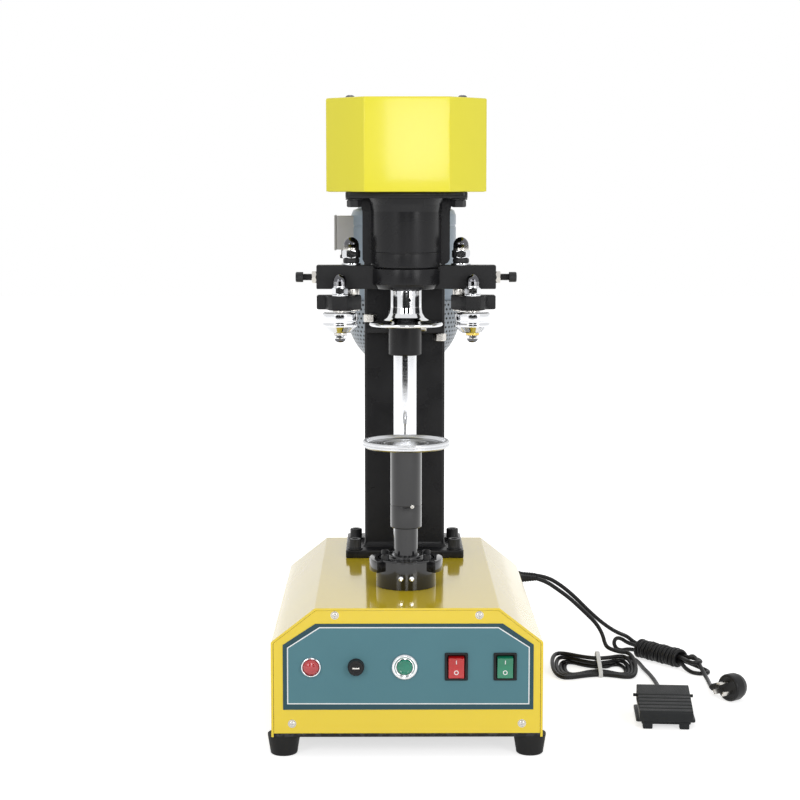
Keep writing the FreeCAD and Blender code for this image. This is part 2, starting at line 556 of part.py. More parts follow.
# ---- cords ----
# Straight runs joined by tangent arcs; arc radius = 0.45 x shorter run / tan(half the turn).
def cord_tube(name, routes):
    radius = D["cordRadius"]
    solids = []
    for route in routes:
        points = [V(*p) for p in route]
        edges = []
        start = points[0]
        radii = []
        for before, here, after in zip(points, points[1:], points[2:]):
            back = (before - here).normalize()
            ahead = (after - here).normalize()
            turn = math.pi - back.getAngle(ahead)
            reach = 0.45 * min(before.distanceToPoint(here), here.distanceToPoint(after))
            arc_radius = reach / math.tan(turn / 2)
            first = here + back * reach
            last = here + ahead * reach
            middle_way = (back + ahead).normalize()
            hub = arc_radius / math.cos(turn / 2)
            middle = here + middle_way * (hub - arc_radius)
            edges.append(Part.LineSegment(start, first).toShape())
            edges.append(Part.Arc(first, middle, last).toShape())
            radii.append(round(arc_radius, 1))
            start = last
        edges.append(Part.LineSegment(start, points[-1]).toShape())
        wire = Part.Wire(edges)
        ring = Part.Wire([Part.Circle(points[0], points[1] - points[0], radius).toShape()])
        solid = wire.makePipeShell([ring], True, False)
        length = wire.Length
        expected = length * math.pi * radius * radius
        print("%s length %.1f volume %.0f of %.0f bend radii %s" % (name, length, solid.Volume, expected, radii))
        solids.append(solid)
    feature = doc.addObject("Part::Feature", name)
    feature.Shape = Part.makeCompound(solids) if len(solids) > 1 else solids[0]
    return node(name, feature)


mainsRoute = [(172, 268, 123), (187, 273, 120), (206, 283, 107.5), (226, 293, 89.5), (245, 302, 69),
              (263, 309, 51.5), (284, 317, 36), (306, 327, 20)]
tailRoute = [(370, 252, 12), (380, 232, 7.5), (385, 208, 4), (385.5, 170, 3.6), (382, 136, 8.5)]
pedalRoute = [(172, 256, 121.5), (185, 259, 117), (201, 266, 105), (218, 273, 91.5), (233, 280, 76.5),
              (247, 286, 62.5), (258, 290, 51), (264.5, 289, 37.5), (265, 284, 24), (266, 267, 12)]
pedalTail = [(308, 246, 10), (315, 222, 6.5), (318.5, 190, 4), (319, 150, 3.6), (316, 110, 4.4), (309.6, 66.3, 9)]
cord_tube("mains_cord", [mainsRoute, tailRoute])
cord_tube("pedal_cord", [pedalRoute, pedalTail])
reliefs = []
for y, z in reliefSpots:
    reliefs.append(turned("relief", [(0, -6), (5.9, -6), (5.9, -2.5), (5, -2.5), (5, 0), (5.9, 0), (5.9, 2), (5.2, 2.6),
                                     (3.4, 22), (0, 22)], ("baseHalf", y, z), "x"))
node("cord_reliefs", group("cord_reliefs", reliefs))

bundleProfile = [(0, 0), (7, 0), (11, 8), (13, 24), (13, 98), (11.5, 114), (7, 124), (0, 124)]
bundle = turned("mains_bundle", bundleProfile)
bundle.Placement = FreeCAD.Placement(V(302, 337, 13.2), Rot(V(0, 0, 1), V(77, -97, 0)))
node("mains_bundle", bundle)

lobes = [cyl("hank_lobe", 32, 24, (218, y, 0.4)) for y in (219, 262)]
lobes += [cyl("hank_lobe", 28, 22, (284, y, 0.4)) for y in (222, 254)]
lobes.append(box("hank_fill", (64, 43, 24), (186, 219, 0.4)))
lobes.append(box("hank_fill", (56, 32, 22), (256, 222, 0.4)))
lobes.append(box("hank_waist", (50, 52, 19), (230, 214, 1.6)))
hank = fuse("hank_plain", lobes)
gapCut = cut("hank_gap", box("hank_gap_outer", (7, 140, 40), (249.5, 170, -5)), [box("hank_gap_inner", (20, 52, 19), (243, 214, 1.6))])
node("pedal_hank", cut("pedal_hank", hank, [gapCut]))
band = box("tie_outer", (5, 54.6, 21.6), (250.5, 212.7, 0.3))
node("hank_tie", cut("hank_tie", band, [box("tie_inner", (9, 52, 19), (248, 214, 1.6))]))

# Plug: round side-entry body, face towards the pins.
facing = V(-0.8, -0.6, 0)
plugCenter = V(404, 106, 17.2)
plugTurn = Rot(V(0, 0, 1), facing)
body = turned("plug_round", [(0, -14), (8, -14), (15, -8), (17, -2), (17, 9), (16, 11), (0, 11)])
body.Placement = FreeCAD.Placement(plugCenter, plugTurn)
entry = turned("plug_entry", [(0, 0), (6.5, 0), (6.5, 10), (3.6, 25), (0, 25)])
entryWay = (V(382, 136, 8.5) - plugCenter).normalize()
entry.Placement = FreeCAD.Placement(V(382, 136, 8.5) - entryWay * 25, Rot(V(0, 0, 1), entryWay))
node("mains_plug", fuse("mains_plug", [body, entry]))
blades = []
for angle in (90, 210, 330):
    blade = box("plug_blade", (1.8, 6.4, 17), (0, 0, 0))
    radial = FreeCAD.Placement(V(0, 0, 0), Rot(V(0, 0, 1), angle))
    offset = FreeCAD.Placement(V(7, -3.2, 11), Rot())
    blade.Placement = FreeCAD.Placement(plugCenter, plugTurn).multiply(radial).multiply(offset)
    blades.append(blade)
node("plug_blades", group("plug_blades", blades))

# ---- foot pedal ----
pedalPlace = FreeCAD.Placement(V(302.5, -22, 0), Rot(V(0, 0, 1), -4.6))
pieces = [box("pedal_floor", (57, 74, 4.5), (-28.5, 4, 6)), box("pedal_flange", (69, 62, 4.5), (-34.5, 11, 6)),
          box("pedal_switch", (36, 30, 7), (-18, 20, 10))]
for x in (-27, 15.5):
    for y in (4, 64):
        pieces.append(box("pedal_foot", (11.5, 12, 6.5), (x, y, 0)))
for x in (-28, 23):
    pieces.append(box("pedal_lug", (5, 12, 18), (x, 59, 10)))
pieces.append(cyl("pedal_pin", 2, 71, (-35.5, 65, 24), "x"))
pieces.append(cyl("pedal_inlet", 4.2, 12, (0, 76.5, 9), "y"))
pedalBase = fuse("pedal_base", pieces)
pedalBase.Placement = pedalPlace
node("pedal_base", pedalBase)
wedge = prism("treadle_wedge", [[(0, 10), (2.5, 10), (3.2, 15.8), (78, 14), (78, 34), (2, 22.5), (0, 21)]], -31, 62, "yz")
belly = prism("treadle_room", [[(2.5, 5), (75.5, 5), (75.5, 31), (2.5, 20)]], -28.5, 57, "yz")
tools = [belly, cyl("treadle_bore", 2.06, 80, (-40, 65, 24), "x"), box("treadle_gap", (12, 6, 12), (-6, 74, 6))]
treadle = cut("pedal_treadle", wedge, tools)
treadle.Placement = pedalPlace
node("pedal_treadle", treadle)

# ---- checks and export ----
doc.recompute()
bad = []
for obj in doc.Objects:
    if "Invalid" in obj.State or "Error" in obj.State:
        bad.append(obj.Name)
for name, obj in nodes.items():
    if obj.Shape.isNull() or not obj.Shape.isValid() or obj.Shape.Volume <= 0:
        bad.append("shape " + name)
if bad:
    raise RuntimeError("not valid: " + ", ".join(bad))
os.makedirs("parts", exist_ok=True)
for name, obj in nodes.items():
    obj.Shape.exportStep("parts/%s.step" % name)
    b = obj.Shape.BoundBox
    print("%-18s %9.0f mm3 x %.1f..%.1f y %.1f..%.1f z %.1f..%.1f solids %d"
          % (name, obj.Shape.Volume, b.XMin, b.XMax, b.YMin, b.YMax, b.ZMin, b.ZMax, len(obj.Shape.Solids)))
print("nodes", len(nodes))
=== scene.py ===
import bmesh
import bpy
import math
import numpy as np
from mathutils import Matrix, Vector


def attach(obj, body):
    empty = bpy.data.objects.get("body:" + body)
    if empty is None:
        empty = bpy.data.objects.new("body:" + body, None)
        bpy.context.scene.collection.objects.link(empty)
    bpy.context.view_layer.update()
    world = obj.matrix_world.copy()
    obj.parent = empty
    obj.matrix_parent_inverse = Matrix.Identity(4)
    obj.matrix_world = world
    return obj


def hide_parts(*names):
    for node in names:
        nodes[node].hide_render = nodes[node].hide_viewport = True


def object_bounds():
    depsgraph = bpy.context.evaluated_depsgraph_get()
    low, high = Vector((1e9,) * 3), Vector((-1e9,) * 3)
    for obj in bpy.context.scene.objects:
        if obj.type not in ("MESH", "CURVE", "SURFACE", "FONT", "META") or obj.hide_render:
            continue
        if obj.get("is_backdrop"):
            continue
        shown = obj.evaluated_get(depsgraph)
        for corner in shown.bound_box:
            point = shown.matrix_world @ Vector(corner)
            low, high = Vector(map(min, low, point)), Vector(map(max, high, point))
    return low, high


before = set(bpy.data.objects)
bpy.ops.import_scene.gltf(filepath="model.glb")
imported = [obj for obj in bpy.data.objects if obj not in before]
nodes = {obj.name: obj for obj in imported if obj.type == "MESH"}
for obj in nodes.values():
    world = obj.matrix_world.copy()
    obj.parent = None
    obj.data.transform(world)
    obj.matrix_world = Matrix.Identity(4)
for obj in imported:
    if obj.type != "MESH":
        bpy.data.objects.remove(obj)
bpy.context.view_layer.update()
mm = 0.001
print("frame loaded:", len(nodes), "nodes")


# Camera: in front, a little above the machine's middle.
view = {"place": (-0.021, -2.114, 0.621), "sensor": 36.0, "lens": 83.25, "tilt": 83.61, "turn": -0.38}
camera = bpy.data.objects.new("camera", bpy.data.cameras.new("camera"))
bpy.context.scene.collection.objects.link(camera)
camera.data.sensor_width = view["sensor"]
camera.data.lens = view["lens"]
camera.location = view["place"]
camera.rotation_euler = (math.radians(view["tilt"]), 0.0, math.radians(view["turn"]))
bpy.context.scene.camera = camera
bpy.context.scene.view_settings.view_transform = "Standard"


def addNode(tree, kind, **settings):
    made = tree.nodes.new(kind)
    for key, value in settings.items():
        setattr(made, key, value)
    return made


def mathNode(tree, operation, first, second=None, third=None, clamp=False):
    made = addNode(tree, "ShaderNodeMath", operation=operation, use_clamp=clamp)
    for index, value in enumerate((first, second, third)):
        if value is None:
            continue
        if isinstance(value, (int, float)):
            made.inputs[index].default_value = value
        else:
            tree.links.new(value, made.inputs[index])
    return made.outputs[0]


# Mask of the rays that see the white background: camera, glossy and transmission.
def seenRays(tree):
    path = addNode(tree, "ShaderNodeLightPath")
    first = mathNode(tree, "ADD", path.outputs["Is Camera Ray"], path.outputs["Is Glossy Ray"])
    return mathNode(tree, "ADD", first, path.outputs["Is Transmission Ray"], clamp=True)


# Studio: what the world gives as light, and how the floor fades from its shadows to white.
light = {"ambient": 0.42, "floorGlow": 0.66, "floorColour": 0.8, "floorHalf": 9, "fadeFrom": 0.35,
         "fadeTo": 1.1}
world = bpy.data.worlds.new("studio")
bpy.context.scene.world = world
world.use_nodes = True
background = world.node_tree.nodes["Background"]
shade = addNode(world.node_tree, "ShaderNodeMapRange")
shade.inputs["To Min"].default_value = light["ambient"]
world.node_tree.links.new(seenRays(world.node_tree), shade.inputs["Value"])
world.node_tree.links.new(shade.outputs["Result"], background.inputs["Strength"])
background.inputs["Color"].default_value = (1, 1, 1, 1)

floorMesh = bpy.data.meshes.new("floor")
side = light["floorHalf"]
floorMesh.from_pydata([(-side, -side, 0), (side, -side, 0), (side, side, 0), (-side, side, 0)], [],
                      [(0, 1, 2, 3)])
floor = bpy.data.objects.new("floor", floorMesh)
bpy.context.scene.collection.objects.link(floor)
floor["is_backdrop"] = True
floorPaint = bpy.data.materials.new("floorPaint")
floorPaint.use_nodes = True
tree = floorPaint.node_tree
tree.nodes.clear()
matte = addNode(tree, "ShaderNodeBsdfDiffuse")
matte.inputs["Color"].default_value = (light["floorColour"],) * 3 + (1,)
glow = addNode(tree, "ShaderNodeEmission")
both = addNode(tree, "ShaderNodeAddShader")
out = addNode(tree, "ShaderNodeOutputMaterial")
where = addNode(tree, "ShaderNodeTexCoord")
reach = addNode(tree, "ShaderNodeVectorMath", operation="LENGTH")  # distance from the object's axis
tree.links.new(where.outputs["Object"], reach.inputs[0])
fade = addNode(tree, "ShaderNodeMapRange")
tree.links.new(reach.outputs["Value"], fade.inputs["Value"])
for socket, value in (("From Min", light["fadeFrom"]), ("From Max", light["fadeTo"]),
                      ("To Min", light["floorGlow"]), ("To Max", 1.0)):
    fade.inputs[socket].default_value = value
tree.links.new(mathNode(tree, "MULTIPLY", seenRays(tree), fade.outputs["Result"]), glow.inputs["Strength"])
tree.links.new(matte.outputs[0], both.inputs[0])
tree.links.new(glow.outputs[0], both.inputs[1])
tree.links.new(both.outputs[0], out.inputs["Surface"])
floorMesh.materials.append(floorPaint)

# Lamps by name: place, aim, width, height, power.
lamps = {
    "keyLamp": ((-1.3, -2.3, 1.35), (0, 0.05, 0.45), 0.8, 1.3, 15),
    "fillLamp": ((1.5, -2.2, 1.15), (0, 0.05, 0.45), 0.7, 1.3, 17),
    "frontLamp": ((0.12, -2.9, 1.25), (0, 0, 0.45), 0.5, 1.0, 11),
    "topLamp": ((0.0, 0.3, 2.3), (0, 0.1, 0.3), 1.3, 1.3, 5),
}
for name, (place, aim, width, height, power) in lamps.items():
    data = bpy.data.lights.new(name, "AREA")
    data.shape = "RECTANGLE"
    data.size = width
    data.size_y = height
    data.energy = power
    lamp = bpy.data.objects.new(name, data)
    bpy.context.scene.collection.objects.link(lamp)
    lamp.location = place
    lamp.rotation_euler = (Vector(aim) - Vector(place)).to_track_quat("-Z", "Y").to_euler()

# Dark studio wall behind the camera, seen only in reflections.
darkWall = {"half": 2.2, "y": -4.2, "low": 0.02, "high": 3.4, "grey": 0.03}
wallMesh = bpy.data.meshes.new("darkWall")
half, y = darkWall["half"], darkWall["y"]
wallMesh.from_pydata([(-half, y, darkWall["low"]), (half, y, darkWall["low"]), (half, y, darkWall["high"]),
                      (-half, y, darkWall["high"])], [], [(0, 1, 2, 3)])
wall = bpy.data.objects.new("darkWall", wallMesh)
bpy.context.scene.collection.objects.link(wall)
wall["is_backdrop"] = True
wall.visible_camera = False
wall.visible_diffuse = False
wall.visible_shadow = False
wallPaint = bpy.data.materials.new("wallPaint")
wallPaint.use_nodes = True
wallShader = wallPaint.node_tree.nodes["Principled BSDF"]
wallShader.inputs["Base Color"].default_value = (darkWall["grey"],) * 3 + (1,)
wallShader.inputs["Specular IOR Level"].default_value = 0.0
wallMesh.materials.append(wallPaint)
print("studio ready")


cordSpec = {"radius": 2.7, "resolution": 6, "rest": 2.9}  # rest: lowest centre, on the floor


# Cord: one open spline through its control points, given in millimetres.
def cordCurve(name, points, material):
    curve = bpy.data.curves.new(name, "CURVE")
    curve.dimensions = "3D"
    spline = curve.splines.new("NURBS")
    spline.points.add(len(points) - 1)
    for target, place in zip(spline.points, points):
        target.co = (place[0] * mm, place[1] * mm, place[2] * mm, 1.0)
    spline.order_u = 3
    spline.use_endpoint_u = True
    curve.bevel_depth = cordSpec["radius"] * mm
    curve.bevel_resolution = 4
    curve.resolution_u = cordSpec["resolution"]
    curve.use_fill_caps = True
    curve.materials.append(material)
    obj = bpy.data.objects.new(name, curve)
    bpy.context.scene.collection.objects.link(obj)
    return obj


# Bundle frame: a along its axis, b level across it, c up, from the left end's centre.
bundle = {"start": (302.0, 337.0, 13.2), "along": (0.6218, -0.7833), "core": 3.0, "wrap": 10.2,
          "first": 24.0, "last": 99.0, "turns": 12, "steps": 14}


def bundlePoint(a, b, c):
    dx, dy = bundle["along"]
    x, y, z = bundle["start"]
    return (x + a * dx - b * dy, y + a * dy + b * dx, z + c)


mainsRoute = [(172, 268, 123), (187, 273, 120), (206, 283, 107.5), (226, 293, 89.5), (245, 302, 69),
              (263, 309, 51.5), (284, 320, 35)]
core = bundle["core"]
mainsPoints = list(mainsRoute)
mainsPoints += [bundlePoint(*p) for p in ((-4, 5, 10), (10, core, 5), (24, core, core), (60, core, core),
                                          (96, core, core))]
mainsPoints += [bundlePoint(*p) for p in ((110, 5, 3), (121, 9, 2), (129, 6, 1), (131, -1, 1), (127, -8, 1),
                                          (118, -9, 2))]
mainsPoints += [bundlePoint(*p) for p in ((106, -5, 3), (92, -core, core), (56, -core, core),
                                          (20, -core, core))]
mainsPoints += [bundlePoint(*p) for p in ((4, -3.4, 4), (-7, -4, 8), (-16, -4.5, 6.5), (-20, -4.5, -1),
                                          (-15, -4.5, -8),
                                          (-5, -4.5, -8.5), (6, -4, -4.5))]
mainsPoints += [bundlePoint(*p) for p in ((22, -core, -core), (58, -core, -core), (94, -core, -core))]
mainsPoints += [bundlePoint(*p) for p in ((106, -6, -4), (118, -11, -8), (131, -13, -10.2), (142, -8, -10.2),
                                          (145, 1, -10.2), (139, 9, -10.2), (127, 10, -9), (115, 7, -6))]
mainsPoints += [bundlePoint(*p) for p in ((102, core, -core), (66, core, -core), (34, core, -core),
                                          (21, 4.5, -5))]
# Wraps: a helix of turns about the bundle's axis, starting low at its far side.
wrapSteps = bundle["turns"] * bundle["steps"]
for step in range(wrapSteps + 1):
    share = step / wrapSteps
    angle = -0.6 - 2 * math.pi * step / bundle["steps"]
    radius = bundle["wrap"] + 0.5 * math.sin(2.3 * angle)
    along = bundle["first"] + (bundle["last"] - bundle["first"]) * share
    mainsPoints.append(bundlePoint(along, radius * math.cos(angle), radius * math.sin(angle)))
mainsPoints += [bundlePoint(*p) for p in ((103, 11.5, 1.5), (112, 10, 5))]
mainsPoints += [(382, 243, 15), (384, 228, 11), (386, 210, 5.5), (387, 190, 3.4), (385.5, 165, 3.6),
                (382, 136, 8.5)]

# Hank: turns from the top, widest one down to the lowest, clockwise from above, tied at the waist.
hank = {"x": 253.0, "y": 240.0, "turns": 4, "floor": 3.2, "rise": 5.7, "steps": 18}


def hankPoint(turn):
    level = hank["turns"] - 1 - turn
    angle = 2 * math.pi * turn
    side, back = math.sin(angle), math.cos(angle)
    if side > 0:
        reach, lobe = 37.0 + 4.2 * level, (40.0 if back > 0 else 30.0 + 6.8 * level)
    else:
        reach, lobe = 48.0 + 5.6 * level, (54.0 if back > 0 else 33.0 + 7.6 * level)
    waist = 14.0 + 1.6 * math.cos(math.pi * level) if back > 0 else 7.0 + 6.0 * level
    spread = abs(back) * (waist + (lobe - waist) * (1 - back * back) * 2.3)
    lift = min(1.0, max(0.0, (back + 0.45) / 0.9))
    lift = lift * lift * (3 - 2 * lift)
    height = hank["floor"] + hank["rise"] * level * lift
    return (hank["x"] + reach * side, hank["y"] + math.copysign(spread, back), height)


pedalPoints = [(172, 256, 121.5), (185, 259, 117), (201, 266, 105), (218, 273, 91.5), (233, 280, 76.5),
               (247, 286, 62.5), (257, 290, 51), (264, 290, 38), (266, 284, 28.5), (269, 276, 23.5)]
for step in range(2, hank["turns"] * hank["steps"] - 1):
    pedalPoints.append(hankPoint(step / hank["steps"]))
pedalPoints += [(262, 254, 3.2), (273, 265, 3.2), (283, 281, 3.2), (290, 296, 3.2), (298, 304, 3.2),
                (306, 299, 3.2),
                (310, 285, 3.2), (311.5, 268, 3.2), (313, 246, 3.4), (316, 222, 3.6), (318.5, 190, 3.6),
                (319, 150, 3.6), (316, 110, 4.4), (309.6, 66.3, 9)]
print("cord routes:", len(mainsPoints), len(pedalPoints))


# Shared effects are node groups that give only a mask, a value or a normal.
def newGroup(name, inputs, outputs):
    group = bpy.data.node_groups.new(name, "ShaderNodeTree")
    for label, kind, value in inputs:
        socket = group.interface.new_socket(label, in_out="INPUT", socket_type=kind)
        socket.default_value = value
    for label, kind in outputs:
        group.interface.new_socket(label, in_out="OUTPUT", socket_type=kind)
    return group, addNode(group, "NodeGroupInput"), addNode(group, "NodeGroupOutput")


# Grain: fine noise as a bump, and the same noise coarser as a mask.
grain, gin, gout = newGroup("grain", [("Scale", "NodeSocketFloat", 600.0), ("Patch", "NodeSocketFloat", 14.0),
                                      ("Height", "NodeSocketFloat", 0.05)],
                            [("Mask", "NodeSocketFloat"), ("Fine", "NodeSocketFloat"),
                             ("Normal", "NodeSocketVector")])
spot = addNode(grain, "ShaderNodeTexCoord")
fine = addNode(grain, "ShaderNodeTexNoise")
fine.inputs["Detail"].default_value = 3.0
patch = addNode(grain, "ShaderNodeTexNoise")
patch.inputs["Detail"].default_value = 4.0
bump = addNode(grain, "ShaderNodeBump")
bump.inputs["Distance"].default_value = 0.001
for source, target in ((spot.outputs["Object"], fine.inputs["Vector"]),
                       (spot.outputs["Object"], patch.inputs["Vector"]),
                       (gin.outputs["Scale"], fine.inputs["Scale"]),
                       (gin.outputs["Patch"], patch.inputs["Scale"]),
                       (gin.outputs["Height"], bump.inputs["Strength"]),
                       (fine.outputs["Fac"], bump.inputs["Height"]),
                       (patch.outputs["Fac"], gout.inputs["Mask"]),
                       (fine.outputs["Fac"], gout.inputs["Fine"]),
                       (bump.outputs["Normal"], gout.inputs["Normal"])):
    grain.links.new(source, target)

# Turned: fine rings round a turned part, from its UV (V runs along the profile), as a bump.
turned, tin, tout = newGroup("turnedRings",
                             [("Rings", "NodeSocketFloat", 2500.0), ("Height", "NodeSocketFloat", 0.04)],
                             [("Fine", "NodeSocketFloat"), ("Normal", "NodeSocketVector")])
uvMap = addNode(turned, "ShaderNodeUVMap")
stretch = addNode(turned, "ShaderNodeVectorMath", operation="MULTIPLY")
stretch.inputs[1].default_value = (0.004, 1.0, 0.0)
rings = addNode(turned, "ShaderNodeTexNoise")
rings.inputs["Detail"].default_value = 2.0
ringBump = addNode(turned, "ShaderNodeBump")
ringBump.inputs["Distance"].default_value = 0.0005
for source, target in ((uvMap.outputs["UV"], stretch.inputs[0]),
                       (stretch.outputs["Vector"], rings.inputs["Vector"]),
                       (tin.outputs["Rings"], rings.inputs["Scale"]),
                       (rings.outputs["Fac"], ringBump.inputs["Height"]),
                       (tin.outputs["Height"], ringBump.inputs["Strength"]),
                       (rings.outputs["Fac"], tout.inputs["Fine"]),
                       (ringBump.outputs["Normal"], tout.inputs["Normal"])):
    turned.links.new(source, target)

# Edge wear: a mask of convex edges, broken up by noise.
wear, win, wout = newGroup("edgeWear", [("Reach", "NodeSocketFloat", 0.55)], [("Mask", "NodeSocketFloat")])
shape = addNode(wear, "ShaderNodeNewGeometry")
wearSpot = addNode(wear, "ShaderNodeTexCoord")
chips = addNode(wear, "ShaderNodeTexNoise")
chips.inputs["Scale"].default_value = 160.0
chips.inputs["Detail"].default_value = 5.0
wear.links.new(wearSpot.outputs["Object"], chips.inputs["Vector"])
edge = addNode(wear, "ShaderNodeMapRange")
edge.inputs["To Max"].default_value = 1.0
wear.links.new(shape.outputs["Pointiness"], edge.inputs["Value"])
wear.links.new(win.outputs["Reach"], edge.inputs["From Min"])
upper = mathNode(wear, "ADD", win.outputs["Reach"], 0.08)
wear.links.new(upper, edge.inputs["From Max"])
broken = mathNode(wear, "MULTIPLY", edge.outputs["Result"],
                  mathNode(wear, "GREATER_THAN", chips.outputs["Fac"], 0.52))
wear.links.new(broken, wout.inputs["Mask"])


def useGroup(tree, group, **values):
    made = addNode(tree, "ShaderNodeGroup")
    made.node_tree = group
    for key, value in values.items():
        made.inputs[key].default_value = value
    return made


def mixColour(tree, mask, first, second):
    made = addNode(tree, "ShaderNodeMix", data_type="RGBA")
    tree.links.new(mask, made.inputs["Factor"])
    for label, value in (("A", first), ("B", second)):
        socket = [s for s in made.inputs if s.name == label and s.type == "RGBA"][0]
        if isinstance(value, tuple):
            socket.default_value = value + (1.0,)
        else:
            tree.links.new(value, socket)
    return [s for s in made.outputs if s.type == "RGBA"][0]


def spread(tree, value, low, high):
    made = addNode(tree, "ShaderNodeMapRange")
    tree.links.new(value, made.inputs["Value"])
    made.inputs["From Min"].default_value = 0.3
    made.inputs["From Max"].default_value = 0.7
    made.inputs["To Min"].default_value = low
    made.inputs["To Max"].default_value = high
    return made.outputs["Result"]


materials = {}


# A finish: two close tones in patches, varying roughness, fine bump, worn edges, and its own settings.
def finish(name, light, dark, rough, scale=700.0, height=0.04, patches=18.0, worn=None, reach=0.56,
           ringed=None, **own):
    made = bpy.data.materials.new(name)
    made.use_nodes = True
    tree = made.node_tree
    shader = tree.nodes["Principled BSDF"]
    look = useGroup(tree, grain, Scale=scale, Patch=patches, Height=height)
    colour = mixColour(tree, look.outputs["Mask"], dark, light)
    if worn:
        edges = useGroup(tree, wear, Reach=reach)
        colour = mixColour(tree, edges.outputs["Mask"], colour, worn)
    tree.links.new(colour, shader.inputs["Base Color"])
    if ringed:
        lines = useGroup(tree, turned, Rings=ringed[0], Height=ringed[1])
        tree.links.new(spread(tree, lines.outputs["Fine"], *rough), shader.inputs["Roughness"])
        tree.links.new(lines.outputs["Normal"], shader.inputs["Normal"])
    else:
        tree.links.new(spread(tree, look.outputs["Mask"], *rough), shader.inputs["Roughness"])
        tree.links.new(look.outputs["Normal"], shader.inputs["Normal"])
    for key, value in own.items():
        shader.inputs[key.replace("_", " ")].default_value = value
    materials[name] = made
    return made


finish("yellowPaint", (0.93, 0.70, 0.035), (0.89, 0.655, 0.028), (0.10, 0.17), 420.0, 0.025, 9.0,
       Coat_Weight=0.6, Coat_Roughness=0.05)
# Head cover and tray: the same yellow paint as the base, painted paler as if under brighter light.
finish("headYellowPaintedLit", (0.92, 0.84, 0.055), (0.90, 0.81, 0.046), (0.16, 0.24), 420.0, 0.03, 9.0,
       Coat_Weight=0.3, Coat_Roughness=0.08)
finish("blackPaint", (0.016, 0.016, 0.018), (0.009, 0.009, 0.010), (0.22, 0.36), 900.0, 0.05, 22.0,
       worn=(0.05, 0.05, 0.055), reach=0.6)
finish("castBlack", (0.020, 0.020, 0.021), (0.008, 0.008, 0.009), (0.34, 0.55), 1500.0, 0.25, 60.0,
       worn=(0.10, 0.10, 0.10), reach=0.58)
finish("glossBlack", (0.014, 0.014, 0.016), (0.008, 0.008, 0.009), (0.08, 0.2), 800.0, 0.03, 26.0,
       Coat_Weight=0.5, Coat_Roughness=0.06)
finish("chrome", (0.80, 0.81, 0.83), (0.72, 0.73, 0.75), (0.05, 0.14), patches=40.0, ringed=(1800.0, 0.02),
       Metallic=1.0)
finish("turnedSteel", (0.70, 0.71, 0.73), (0.58, 0.59, 0.61), (0.16, 0.34), patches=40.0,
       ringed=(2600.0, 0.10),
       Metallic=1.0, Anisotropic=0.6)
finish("screwSteel", (0.72, 0.70, 0.66), (0.55, 0.53, 0.50), (0.16, 0.30), 900.0, 0.05, 120.0, Metallic=1.0)
finish("brassRing", (0.80, 0.60, 0.16), (0.66, 0.47, 0.10), (0.2, 0.34), 900.0, 0.06, 90.0, Metallic=1.0)
finish("darkChrome", (0.16, 0.16, 0.17), (0.09, 0.09, 0.10), (0.05, 0.13), 900.0, 0.03, 60.0, Metallic=1.0)
finish("blackSteel", (0.030, 0.030, 0.032), (0.014, 0.014, 0.015), (0.28, 0.42), 1400.0, 0.12, 80.0,
       worn=(0.2, 0.2, 0.2), reach=0.6)
finish("rubber", (0.020, 0.020, 0.020), (0.011, 0.011, 0.011), (0.5, 0.72), 1700.0, 0.2, 60.0)
finish("blackPlastic", (0.016, 0.016, 0.017), (0.010, 0.010, 0.011), (0.28, 0.42), 1800.0, 0.1, 50.0)
finish("cordVinyl", (0.014, 0.014, 0.015), (0.008, 0.008, 0.009), (0.26, 0.42), 1500.0, 0.12, 60.0)
finish("pedalPlastic", (0.022, 0.024, 0.026), (0.012, 0.013, 0.014), (0.36, 0.52), 2100.0, 0.35, 50.0)
finish("tieWhite", (0.86, 0.87, 0.88), (0.74, 0.75, 0.77), (0.3, 0.45), 1200.0, 0.08, 90.0)
finish("motorGrey", (0.34, 0.42, 0.50), (0.27, 0.34, 0.41), (0.28, 0.42), 900.0, 0.08, 16.0,
       worn=(0.5, 0.52, 0.55), reach=0.58)
finish("boxGrey", (0.66, 0.66, 0.66), (0.50, 0.48, 0.46), (0.34, 0.5), 1100.0, 0.08, 24.0)
finish("redLens", (0.62, 0.012, 0.020), (0.40, 0.006, 0.012), (0.05, 0.12), 420.0, 0.35, 160.0,
       Coat_Weight=1.0, Coat_Roughness=0.03, Subsurface_Weight=0.2, Subsurface_Radius=(0.002, 0.0004, 0.0004))
finish("greenButton", (0.010, 0.26, 0.16), (0.006, 0.19, 0.115), (0.16, 0.26), 1200.0, 0.06, 90.0,
       Coat_Weight=0.4)
finish("beltRubber", (0.030, 0.030, 0.030), (0.016, 0.016, 0.016), (0.55, 0.7), 1300.0, 0.2, 60.0)
finish("pulleyIron", (0.30, 0.30, 0.31), (0.20, 0.20, 0.21), (0.3, 0.46), 900.0, 0.1, 40.0, Metallic=1.0)
finish("bearingSteel", (0.62, 0.62, 0.64), (0.5, 0.5, 0.52), (0.14, 0.26), 900.0, 0.04, 60.0, Metallic=1.0)


switch = {"redX": 54.2, "greenX": 108.0, "level": 102.6, "pivot": 3.1, "capHalf": 11.6, "tilt": 8,
          "barUp": 5.6, "barTall": 2.3, "barWide": 0.45, "ringDown": 6.4, "ringRadius": 2.1, "ringWide": 0.42}


